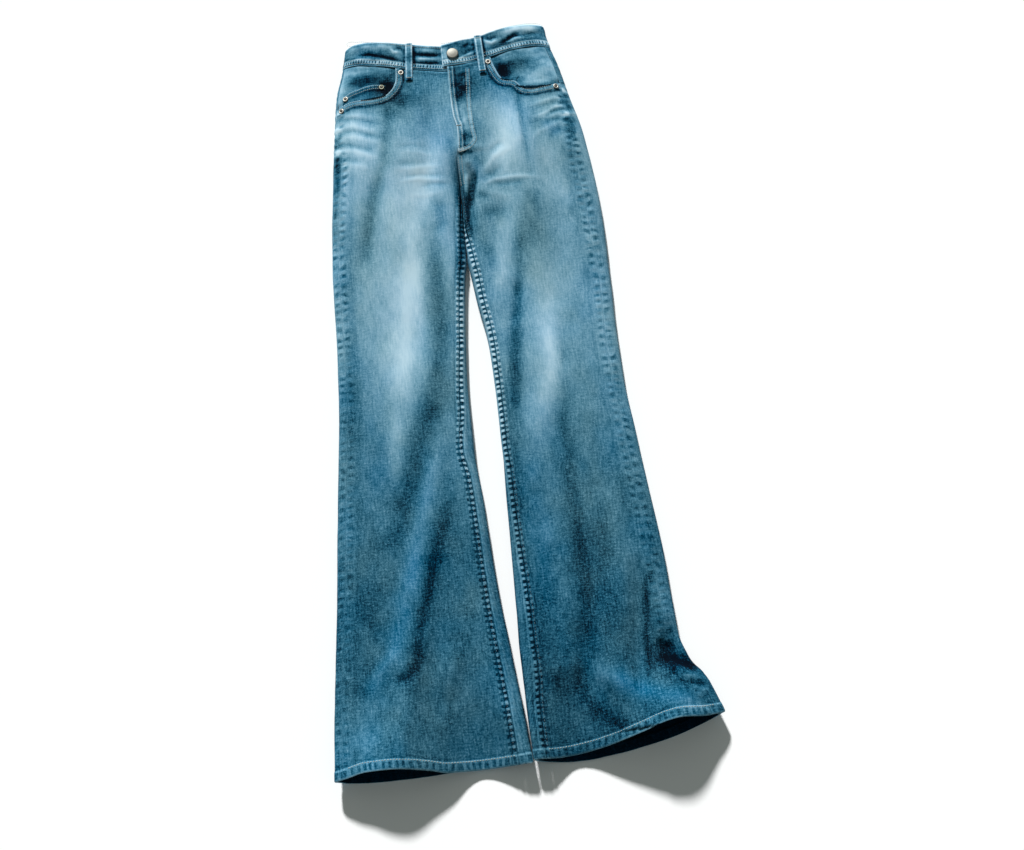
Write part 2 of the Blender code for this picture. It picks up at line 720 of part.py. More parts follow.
def make_coin_pocket(name):
    """A small patch on the left facing, made from its points; its lower part runs under the front."""
    outer, inner = [], []
    for out, low, high in COIN:
        places = [Vector((out, mix(low, high, share / 4))) for share in range(5)]
        pairs = [facing_point(LEFT, place, GAP + 0.15) for place in places]
        inner.append([point for point, _ in pairs])
        outer.append([point + normal * COIN_CLOTH for point, normal in pairs])
    return sheet(name, outer, inner, "denim")


def make_back_pocket(name, side):
    """A five-sided patch under the back, made from its points."""
    outer, inner = [], []
    for y, half, drop in PATCH:
        skin, lining = [], []
        for step in range(7):
            across = step / 3 - 1
            place = (PATCH_MIDDLE + across * half, y - drop * (1 - abs(across)))
            point = Vector((side * place[0], place[1], under_height(side, *place)))
            lining.append(point - Vector((0, 0, GAP)))
            skin.append(point - Vector((0, 0, GAP + PATCH_CLOTH)))
        outer.append(skin)
        inner.append(lining)
    return sheet(name, outer, inner, "denim")


def make_front_loop(name, side, out_low, out_high):
    """A strip over the waistband, sewn down below its seam and at its top edge."""
    middle = (out_low + out_high) / 2
    seam = waist_seam[side](middle)
    top = waist_top[side](middle) - 0.5
    on_band = BAND_PROUD + GAP
    # columns: y, height of the strip's inner skin above the garment's upper face
    rows = (
        (LOOP_FROM, GAP + 0.1), (seam - 11, GAP + 0.1), (seam - 4, on_band + 0.5), (seam + 6, on_band + 1.1),
        (mix(seam, top, 0.55), on_band + 1.2), (top - 6, on_band + 0.5), (top, on_band + 0.1),
    )
    outer, inner = [], []
    for y, raised in rows:
        skin, lining = [], []
        centre = mix(out_low, out_high, (y - LOOP_FROM) / (top - LOOP_FROM))
        for half in (-1, 0, 1):
            out = centre + half * LOOP_WIDTH / 2
            normal = facing_out(side, top_point, out, y)
            point = top_point(side, out, y) + normal * raised
            lining.append(point)
            skin.append(point + normal * LOOP_CLOTH)
        outer.append(skin)
        inner.append(lining)
    return sheet(name, outer, inner, "denim")


def make_back_loop(name, side, out):
    """A flat strip under the waistband, on the surface that the garment lies on."""
    ends = [Vector((side * out + half * LOOP_WIDTH / 2, 0, 0)) for half in (-1, 1)]
    lower = [[end + Vector((0, y, 0)) for end in ends] for y in (LOOP_FROM, LOOP_BACK_TO)]
    upper = [[point + Vector((0, 0, LOOP_CLOTH)) for point in line] for line in lower]
    return sheet(name, upper, lower, "denim")


def turned(name, profile, steps, seat, normal, finish):
    """A round piece spun from its profile and stood on its seat along a normal."""
    builder = bmesh.new()
    rim = [builder.verts.new((radius * MM, 0, height * MM)) for radius, height in profile]
    edges = [builder.edges.new(pair) for pair in zip(rim, rim[1:])]
    bmesh.ops.spin(
        builder, geom=rim + edges, cent=(0, 0, 0), axis=(0, 0, 1),
        angle=math.tau, steps=steps, use_merge=True,
    )
    bmesh.ops.holes_fill(builder, edges=[edge for edge in builder.edges if edge.is_boundary])
    bmesh.ops.recalc_face_normals(builder, faces=builder.faces)
    turn = normal.to_track_quat("Z", "Y").to_matrix().to_4x4()
    bmesh.ops.transform(builder, matrix=turn, verts=builder.verts)
    bmesh.ops.translate(builder, vec=seat * MM, verts=builder.verts)
    mesh = bpy.data.meshes.new(name)
    builder.to_mesh(mesh)
    builder.free()
    return bare_object(name, mesh, finish)


def make_button(name):
    side, out, y = BUTTON_PLACE
    normal = facing_out(side, top_point, out, y)
    seat = top_point(side, out, y) + normal * (BAND_PROUD + BAND_RAISE + GAP)
    return turned(name, BUTTON, 28, seat, normal, "silver")


def make_rivet(name, side, out, y, carrier):
    if carrier == "coin":
        raised = GAP + 0.15 + COIN_CLOTH + GAP + 0.1
        around = [Vector((out + step, y)) for step in (-4, 4)] + [Vector((out, y + step)) for step in (-4, 4)]
        low, high, below, above = (facing_point(side, place, raised)[0] for place in around)
        normal = ((high - low).cross(above - below) * side).normalized()
        seat = (low + high + below + above) / 4
    else:
        normal = facing_out(side, top_point, out, y)
        seat = top_point(side, out, y) + normal * GAP
    return turned(name, RIVET, 16, seat, normal, "silver")


def centre_on_surface():
    """Moves every piece so that the origin is on the surface, under the middle of the garment's box."""
    corners = [vertex.co for obj in bpy.data.objects for vertex in obj.data.vertices]
    low = Vector(min(corner[axis] for corner in corners) for axis in range(3))
    high = Vector(max(corner[axis] for corner in corners) for axis in range(3))
    middle = Vector(((low.x + high.x) / 2, (low.y + high.y) / 2, low.z))
    for obj in bpy.data.objects:
        obj.location = -middle


def remove_startup_objects():
    for obj in list(bpy.data.objects):
        bpy.data.objects.remove(obj)


def make_material(name):
    colour, roughness, metallic = FINISH[name]
    material = bpy.data.materials.new(name)
    material.use_nodes = True
    shader = material.node_tree.nodes["Principled BSDF"]
    shader.inputs["Base Color"].default_value = (*colour, 1.0)
    shader.inputs["Roughness"].default_value = roughness
    shader.inputs["Metallic"].default_value = metallic
    material.diffuse_color = (*colour, 1.0)
    return material


remove_startup_objects()
materials = {name: make_material(name) for name in FINISH}
for half, side in (("left", LEFT), ("right", RIGHT)):
    make_front(f"front_{half}", side)
    make_back(f"back_{half}", side)
    make_yoke(f"yoke_{half}", side)
    make_facing(f"pocket_facing_{half}", side)
    make_back_pocket(f"back_pocket_{half}", side)
make_coin_pocket("coin_pocket")
make_waistband("waistband")
for loop in LOOPS_ON_TOP:
    make_front_loop(*loop)
for loop in LOOPS_BELOW:
    make_back_loop(*loop)
make_button("button")
for rivet in RIVETS:
    make_rivet(*rivet)
centre_on_surface()
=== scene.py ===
import math
from functools import partial

import bmesh
import bpy
import numpy as np
from mathutils import Matrix, Vector


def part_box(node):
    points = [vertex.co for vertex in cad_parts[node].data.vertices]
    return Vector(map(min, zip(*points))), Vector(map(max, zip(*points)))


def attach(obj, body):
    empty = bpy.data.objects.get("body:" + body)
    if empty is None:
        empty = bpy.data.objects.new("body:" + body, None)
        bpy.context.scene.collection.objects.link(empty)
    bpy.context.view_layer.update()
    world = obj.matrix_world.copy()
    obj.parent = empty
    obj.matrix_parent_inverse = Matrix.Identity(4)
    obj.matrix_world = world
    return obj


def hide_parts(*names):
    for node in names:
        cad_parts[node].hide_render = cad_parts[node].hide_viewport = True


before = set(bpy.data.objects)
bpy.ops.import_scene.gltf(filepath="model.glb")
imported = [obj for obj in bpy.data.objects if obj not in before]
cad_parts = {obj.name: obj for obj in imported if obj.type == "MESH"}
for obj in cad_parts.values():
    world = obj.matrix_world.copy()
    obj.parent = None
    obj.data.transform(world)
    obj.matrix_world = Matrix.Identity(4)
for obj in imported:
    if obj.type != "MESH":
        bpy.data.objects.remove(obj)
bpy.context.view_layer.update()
print("frame loaded:", len(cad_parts), "nodes")

mm = 0.001
left, right = -1, 1     # halves as seen from above, waist at the top
halves = (("left", left), ("right", right))

# the pattern, in millimetres: y is the height above the crotch fork, out the distance from the centre line
pattern = {
    "outline": {        # y, outer edge, inner edge
        left: (
            (250, 142.5, 0), (204, 153, 0), (163, 164, 0), (98, 172, 0), (30, 180, 0), (-10, 184, 0.4),
            (-60, 188.5, 1.2), (-112, 192, 2.2), (-135, 192.5, 6), (-150, 193, 8), (-230, 195.3, 15.5),
            (-315, 199.6, 21), (-390, 206.3, 21.5), (-450, 212.5, 17.8), (-560, 222, 12), (-660, 231.8, 3.5),
            (-735, 239, -3.5), (-820, 245, -9),
        ),
        right: (
            (250, 149, 0), (219, 154, 0), (184, 163, 0), (143, 171, 0), (71, 186, 0), (25, 191, 0),
            (-10, 194, 0.4), (-60, 196, -0.4), (-112, 196.3, -1.4), (-135, 195.5, 1), (-178, 194.7, 5.5),
            (-222, 193.5, 12), (-264, 193.7, 15.5), (-322, 195, 17), (-390, 200.5, 16.2), (-470, 207, 14),
            (-555, 213.7, 12), (-635, 216.5, 9.5), (-670, 217.5, 8), (-700, 226, 8), (-725, 242, 8.5),
            (-750, 253, 8.5), (-780, 262, 9), (-820, 268.5, 10.7),
        ),
    },
    "outseam": {        # y, inset of the outseam
        left: (
            (250, 3), (146, 3), (112, 3.5), (90, 5), (64, 9.5), (43, 12.4), (20, 12.4), (-6, 11), (-40, 9.8),
            (-110, 10), (-230, 10.5), (-315, 12.5), (-390, 12.5), (-430, 12), (-545, 12), (-660, 10), (-820, 11),
        ),
        right: (
            (250, 8), (170, 8), (135, 9), (116, 12.4), (94, 15), (73, 18.5), (48, 21.5), (12, 23.4), (-20, 22.5),
            (-60, 21), (-104, 20), (-137, 17.5), (-162, 15.5), (-190, 15.5), (-260, 17), (-340, 16.5),
            (-405, 17.5), (-470, 18.5), (-555, 19), (-610, 16.5), (-660, 17), (-700, 25), (-741, 21), (-820, 18),
        ),
    },
    "inseam": {         # y, inset of the inseam
        left: (
            (250, 0), (0, 0), (-60, 5), (-110, 8), (-230, 9), (-315, 12), (-390, 15), (-430, 11), (-545, 13),
            (-660, 16), (-820, 18),
        ),
        right: (
            (250, 0), (9, 0), (-50, 1), (-126, 10), (-210, 9), (-310, 7), (-390, 7), (-422, 9), (-505, 12),
            (-634, 19), (-700, 21), (-741, 18), (-820, 16),
        ),
    },
    "lie": (            # y, loft, edge height, shoulder on top, roll underneath
        (250, 15, 6, 30, 12), (204, 17, 6.5, 34, 13), (140, 23, 7.5, 44, 15), (60, 25, 8, 48, 17),
        (0, 22, 8, 44, 15), (-100, 19, 7.5, 40, 14), (-250, 17, 7, 36, 13), (-450, 18, 7.5, 38, 14),
        (-600, 20, 8.5, 42, 18), (-700, 23, 11, 46, 26), (-770, 27, 16, 50, 38), (-820, 29, 20, 52, 44),
    ),
    "waist": {          # out, seam height, top height
        left: (
            (-30, 193, 237), (-12, 189, 232), (0, 186.2, 229), (24, 189.6, 232.8), (43, 193, 236.3),
            (56, 195.6, 239), (73, 200.5, 243), (87, 204, 245.8), (109, 207.5, 248), (131, 211, 247),
            (146, 211, 242), (160, 210, 238),
        ),
        right: (
            (-30, 187, 224), (0, 192.5, 230), (18, 193.4, 233.5), (35, 196, 237), (48, 199, 239.5),
            (57, 201.5, 241.5), (69, 204, 245.5), (86, 208.6, 249.5), (103, 212, 252), (120, 213.4, 252.4),
            (136, 214, 251.5), (152, 212.5, 250), (165, 212, 249.5),
        ),
    },
    "hems": {           # out, front, back
        left: (
            (-12, -817, -817), (13, -818, -816), (60, -818, -817), (99, -818, -816.5), (123, -813.5, -817.5),
            (152, -809.5, -818), (175, -808, -818), (203, -807.5, -817), (230, -812, -815), (243, -813.5, -813.5),
            (250, -814, -814),
        ),
        right: (
            (6, -814, -814), (38, -814.5, -818), (61, -813, -820), (80, -811, -820), (107, -807, -817.5),
            (130, -802, -815), (153, -796, -811), (184, -787.5, -805), (205, -785, -799.5), (228, -785, -792),
            (253, -782.5, -783.5), (262, -780.5, -780.5), (270, -780, -780),
        ),
    },
    "folds": {          # y, out, height, width towards the side, width towards the centre
        left: (
            ((-420, 50, 0, 20, 14), (-500, 76, 3, 26, 13), (-590, 103, 5, 30, 14), (-680, 128, 9, 34, 16),
             (-740, 146, 9, 40, 24), (-780, 166, 13, 44, 36), (-820, 174, 17, 54, 40)),
            ((-640, 70, 0, 22, 22), (-720, 66, -7, 30, 32), (-820, 58, -23, 46, 56)),
            ((-650, 66, 0, 26, 16), (-690, 80, 4, 26, 14), (-730, 88, 0, 26, 16)),
            ((160, 92, 0, 26, 26), (80, 92, 3.5, 30, 30), (-60, 100, 3, 26, 26), (-200, 108, 0, 24, 24)),
            ((-190, 62, 0, 18, 18), (-280, 66, 2.5, 20, 20), (-400, 88, 0, 20, 20)),
            ((150, 34, 0, 12, 12), (80, 36, -3, 13, 13), (10, 46, -2, 14, 14), (-60, 60, 0, 14, 14)),
        ),
        right: (
            ((-560, 176, 0, 12, 16), (-620, 172, -6, 12, 16), (-690, 166, -7, 14, 18), (-750, 160, 0, 14, 18)),
            ((-600, 92, 0, 14, 14), (-660, 92, -5, 14, 15), (-720, 98, -6, 16, 20), (-790, 122, 0, 18, 22)),
            ((-560, 132, 0, 24, 22), (-640, 134, 6, 26, 24), (-720, 136, 8, 26, 24), (-790, 150, 3, 26, 24)),
            ((-690, 205, 0, 34, 30), (-745, 200, 14, 34, 36), (-820, 186, 34, 46, 50)),
            ((-700, 60, 0, 40, 30), (-820, 66, -21, 50, 42)),
            ((-648, 214, 0, 14, 16), (-690, 206, -9, 14, 20), (-722, 214, 0, 14, 18)),
            ((170, 100, 0, 26, 26), (60, 96, 4, 30, 28), (-60, 100, 3, 26, 26), (-190, 96, 0, 24, 24)),
            ((-170, 74, 0, 18, 18), (-270, 80, 3, 20, 20), (-380, 84, 0, 20, 20)),
            ((34, 15, 0, 5, 5), (6, 17, -7, 6, 5), (-30, 14, -6, 6, 5), (-64, 12, 0, 6, 5)),
            ((150, 56, 0, 12, 12), (60, 60, -3, 13, 13), (-60, 62, -2.5, 14, 14), (-150, 56, 0, 14, 14)),
        ),
    },
    "mouths": {         # out, y along each pocket mouth
        left: (
            (74, 200.4), (74.5, 186), (75.5, 177), (78.5, 169), (85, 160), (93.5, 153.8), (104, 151), (116, 150),
            (132, 150.5), (144, 150), (154, 147), (163.5, 142.5),
        ),
        right: (
            (65, 202.8), (66.5, 192), (69, 183.5), (73.5, 171), (81, 161), (89, 158.8), (96, 157), (101, 151.5),
            (105.5, 145.5), (111.5, 142), (121, 141.5), (134, 143.5), (150, 146), (161.5, 148),
        ),
    },
    "fly": (            # y, end of the left front, end of the right front
        (200, -14, 2), (140, -14, 0.5), (110, -14, 1.5), (88, -14, 5), (66, -12, 4.2), (56, -2.9, 3.2),
        (46, -0.9, 1.2), (34, 0, 0), (0, 0, 0), (-820, 0, 0),
    ),
    "yoke": ((0, 126), (80, 138), (190, 152)),
    "lift": ((250, 3.0), (186, 3.0), (166, 1.7), (-47, 1.7), (-110, 0), (-830, 0)),
    "hemLine": -815.0, "waistLine": 190.0, "backTop": 232.0, "gap": 0.3,
    "tubeFrom": 62.0, "innerShoulder": 0.7,     # y below which the legs part, share of the shoulder on the inner side
}


def smoothLine(rows, column=1):
    # a smooth line through (position, value) rows that never overshoots them
    rows = sorted(rows)
    at = np.array([row[0] for row in rows], float)
    value = np.array([row[column] for row in rows], float)
    rise = np.diff(value) / np.diff(at)
    product = rise[:-1] * rise[1:]
    together = np.where(product > 0, rise[:-1] + rise[1:], 1.0)
    slope = np.concatenate((rise[:1], np.where(product > 0, 2 * product / together, 0.0), rise[-1:]))

    def line(where):
        where = np.clip(where, at[0], at[-1])
        i = np.clip(np.searchsorted(at, where) - 1, 0, len(at) - 2)
        span = at[i + 1] - at[i]
        t = (where - at[i]) / span
        keep = 2 * t**3 - 3 * t**2 + 1
        bends = (t**3 - 2 * t**2 + t) * slope[i] + (t**3 - t**2) * slope[i + 1]
        return keep * value[i] + (1 - keep) * value[i + 1] + span * bends

    return line


def bothHalves(name, column=1):
    return {side: smoothLine(rows, column) for side, rows in pattern[name].items()}


outerEdge, innerEdge = bothHalves("outline"), bothHalves("outline", 2)
outseamInset, inseamInset = bothHalves("outseam"), bothHalves("inseam")
waistSeam, waistTop = bothHalves("waist"), bothHalves("waist", 2)
frontHem, backHem = bothHalves("hems"), bothHalves("hems", 2)
flyEnd = {left: smoothLine(pattern["fly"], 1), right: smoothLine(pattern["fly"], 2)}
loftAt, edgeAt, shoulderAt, rollAt = (smoothLine(pattern["lie"], column) for column in (1, 2, 3, 4))
yokeAt, liftAt = smoothLine(pattern["yoke"]), smoothLine(pattern["lift"])
foldLines = {
    side: [(min(row[0] for row in fold), max(row[0] for row in fold),
            [smoothLine(fold, column) for column in (1, 2, 3, 4)]) for fold in listed]
    for side, listed in pattern["folds"].items()
}


def ease(value):
    value = np.clip(value, 0.0, 1.0)
    return value * value * (3 - 2 * value)


def mix(first, second, share):
    return first + (second - first) * share


def bump(distance, width):
    return np.exp(-((distance / width) ** 2))


def flatTop(distance, low, lowRun, high, highRun):
    # 1 between low and high, with a soft run up to it on each side
    return ease((distance - low) / lowRun) * ease((high - distance) / highRun)


def rounded(distance, width):
    return np.sqrt(1 - (1 - np.clip(distance / width, 0.0, 1.0)) ** 2)


def foldHeight(side, out, y):
    height = np.zeros(np.broadcast(out, y).shape)
    for low, high, (where, rise, outward, inward) in foldLines[side]:
        across = out - where(y)
        width = np.where(across > 0, outward(y), inward(y))
        height += np.where((y > low - 1) & (y < high + 1), rise(y) * bump(across, width), 0.0)
    return height


def legShare(y):
    return ease((pattern["tubeFrom"] - y) / pattern["tubeFrom"])      # 1 where a leg is a tube of its own


def topHeight(side, out, y):
    loft = loftAt(y) + foldHeight(side, out, y)
    shoulder = shoulderAt(y)
    fallOut = 1 - rounded(outerEdge[side](y) - out, shoulder)
    fallIn = 1 - rounded(out - innerEdge[side](y), pattern["innerShoulder"] * shoulder)
    return loft - (loft - edgeAt(y)) * (fallOut + legShare(y) * fallIn)


def underHeight(side, out, y):
    lift, roll = liftAt(y), rollAt(y)
    riseOut = 1 - rounded(outerEdge[side](y) - out, roll)
    riseIn = 1 - rounded(out - innerEdge[side](y), roll)
    return lift + (edgeAt(y) - lift) * (riseOut + legShare(y) * riseIn)


def topPoint(side, out, y):
    return np.stack(np.broadcast_arrays(side * out, y, topHeight(side, out, y)), axis=-1)


def fromOutseam(side, out, y):
    # distance from the outseam, positive on the front
    return outerEdge[side](y) - outseamInset[side](y) - out


def fromInseam(side, out, y):
    return out - innerEdge[side](y) - inseamInset[side](y)


def wrapOut(side, along, y):
    # along runs from the outer folded edge: negative on top, then underneath, then up over the inner edge
    edge, inner = outerEdge[side](y), innerEdge[side](y)
    over = (along > edge - inner) & (y <= 0)
    out = np.where(along < 0, edge + along, np.where(over, 2 * inner + along - edge, edge - along))
    return out, (along < 0) | over


def wrapPoint(side, along, y):
    out, onTop = wrapOut(side, along, y)
    height = np.where(onTop, topHeight(side, out, y), underHeight(side, out, y))
    return np.stack(np.broadcast_arrays(side * out, y, height), axis=-1)


def facingOut(side, place, first, y, acrossStep=0.4, downStep=1.0):
    # the direction that the surface faces, from two short steps over it
    across = place(side, first + acrossStep, y) - place(side, first - acrossStep, y)
    down = place(side, first, y + downStep) - place(side, first, y - downStep)
    normal = np.cross(across, down) * side
    return normal / np.linalg.norm(normal, axis=-1, keepdims=True)


def facingDown(points):
    return np.zeros_like(points) + np.array((0.0, 0.0, -1.0))


lattices = {}
latticeSize, latticeStart = 128, (40.3, 60.7)


def unevenness(seed, across, down):
    # smooth noise between -1 and 1, one lattice cell to the unit
    if seed not in lattices:
        lattices[seed] = np.random.default_rng(seed).uniform(-1, 1, (latticeSize, latticeSize))
    grid = lattices[seed]
    across, down = np.broadcast_arrays(np.asarray(across, float) + latticeStart[0],
                                       np.asarray(down, float) + latticeStart[1])
    i, j = np.floor(across).astype(int), np.floor(down).astype(int)
    s, t = ease(across - i), ease(down - j)
    i, j, nextI, nextJ = (index % latticeSize for index in (i, j, i + 1, j + 1))
    return mix(mix(grid[i, j], grid[nextI, j], s), mix(grid[i, nextJ], grid[nextI, nextJ], s), t)


def waves(listed, across, down):
    # gentle unevenness: (strength, seed, length across, length down)
    return sum(strength * unevenness(seed, across / wide, down / tall) for strength, seed, wide, tall in listed)


puckerLook = {"wander": 0.55, "wanderOver": 2.6, "sharpness": 0.8, "strength": 0.75, "change": 0.45, "changeOver": 1.7}


def pucker(seed, along, period):
    # an uneven wave along a seam, sharper in its hollows than on its crests
    look = puckerLook
    phase = along / period + look["wander"] * unevenness(seed, along / (look["wanderOver"] * period), 0.0)
    wave = 1 - 2 * np.abs(np.sin(math.pi * phase)) ** look["sharpness"]
    change = look["change"] * unevenness(seed + 1, along / (look["changeOver"] * period), 3.1)
    return -wave * (look["strength"] + change)


def lineDistance(line, across, down):
    # distance to a drawn line, how far along it the nearest point lies, on which side, and the line's length
    line = np.asarray(line, float)
    nearest = np.full(np.broadcast(across, down).shape, np.inf)
    along, sideOf = np.zeros_like(nearest), np.ones_like(nearest)
    gone = 0.0
    for (x0, y0), (x1, y1) in zip(line, line[1:]):
        dx, dy = x1 - x0, y1 - y0
        length = math.hypot(dx, dy)
        share = np.clip(((across - x0) * dx + (down - y0) * dy) / length**2, 0.0, 1.0)
        offX, offY = across - x0 - dx * share, down - y0 - dy * share
        away = np.hypot(offX, offY)
        closer = away < nearest
        nearest = np.where(closer, away, nearest)
        along = np.where(closer, gone + share * length, along)
        sideOf = np.where(closer, np.sign(dx * offY - dy * offX + 1e-9), sideOf)
        gone += length
    return nearest, along, sideOf, gone


strokeEnds = {"taper": 0.3, "least": 0.15}      # the share of a stroke that fades at each end, and to what


def strokes(listed, across, down):
    # soft ridges and troughs drawn along given lines: (height, width, tone, line of places)
    height = np.zeros(np.broadcast(across, down).shape)
    tone = np.zeros_like(height)
    for rise, width, shade, line in listed:
        away, along, _, length = lineDistance(line, across, down)
        fade = strokeEnds["taper"] * length
        mark = bump(away, width) * mix(strokeEnds["least"], 1.0, ease(along / fade) * ease((length - along) / fade))
        height += rise * mark
        tone += shade * mark
    return height, tone


def profile(distance, ridges=(), steps=()):
    # height and tone across a seam or edge: ridges are (place, width, height, tone), a step (start, run, height, tone)
    # is reached below its start
    relief = np.zeros((2, *np.shape(distance)))
    for place, width, *gain in ridges:
        relief += np.multiply.outer(gain, bump(distance - place, width))
    for start, run, *gain in steps:
        relief += np.multiply.outer(gain, ease((start - distance) / run))
    return relief


def sewnEdge(look, away, along, side=0):
    # height and tone across a sewn edge, with the crimps that its stitches pull, kept to its lip if it has one
    wave = pucker(look["seed"] + side, along, look["period"])
    crimped = profile(away, look.get("onLip", ())) + wave * profile(away, look["crimps"])
    if "lip" in look:
        crimped *= ease((look["lip"][0] - away) / look["lip"][1])
    return profile(away, look["ridges"], look["steps"]) + crimped


# relief, wash and painted light of the upper face: tone of the cloth down each leg, as y, left, right
wash = (
    (-820, 0.39, 0.34), (-700, 0.40, 0.36), (-620, 0.40, 0.40), (-540, 0.42, 0.44), (-480, 0.46, 0.47),
    (-420, 0.49, 0.50), (-360, 0.52, 0.57), (-300, 0.57, 0.62), (-240, 0.64, 0.65), (-150, 0.66, 0.66),
    (-60, 0.71, 0.64), (0, 0.73, 0.68), (60, 0.72, 0.69), (120, 0.64, 0.66), (150, 0.56, 0.52), (190, 0.48, 0.46),
)
washDown = {left: smoothLine(wash, 1), right: smoothLine(wash, 2)}
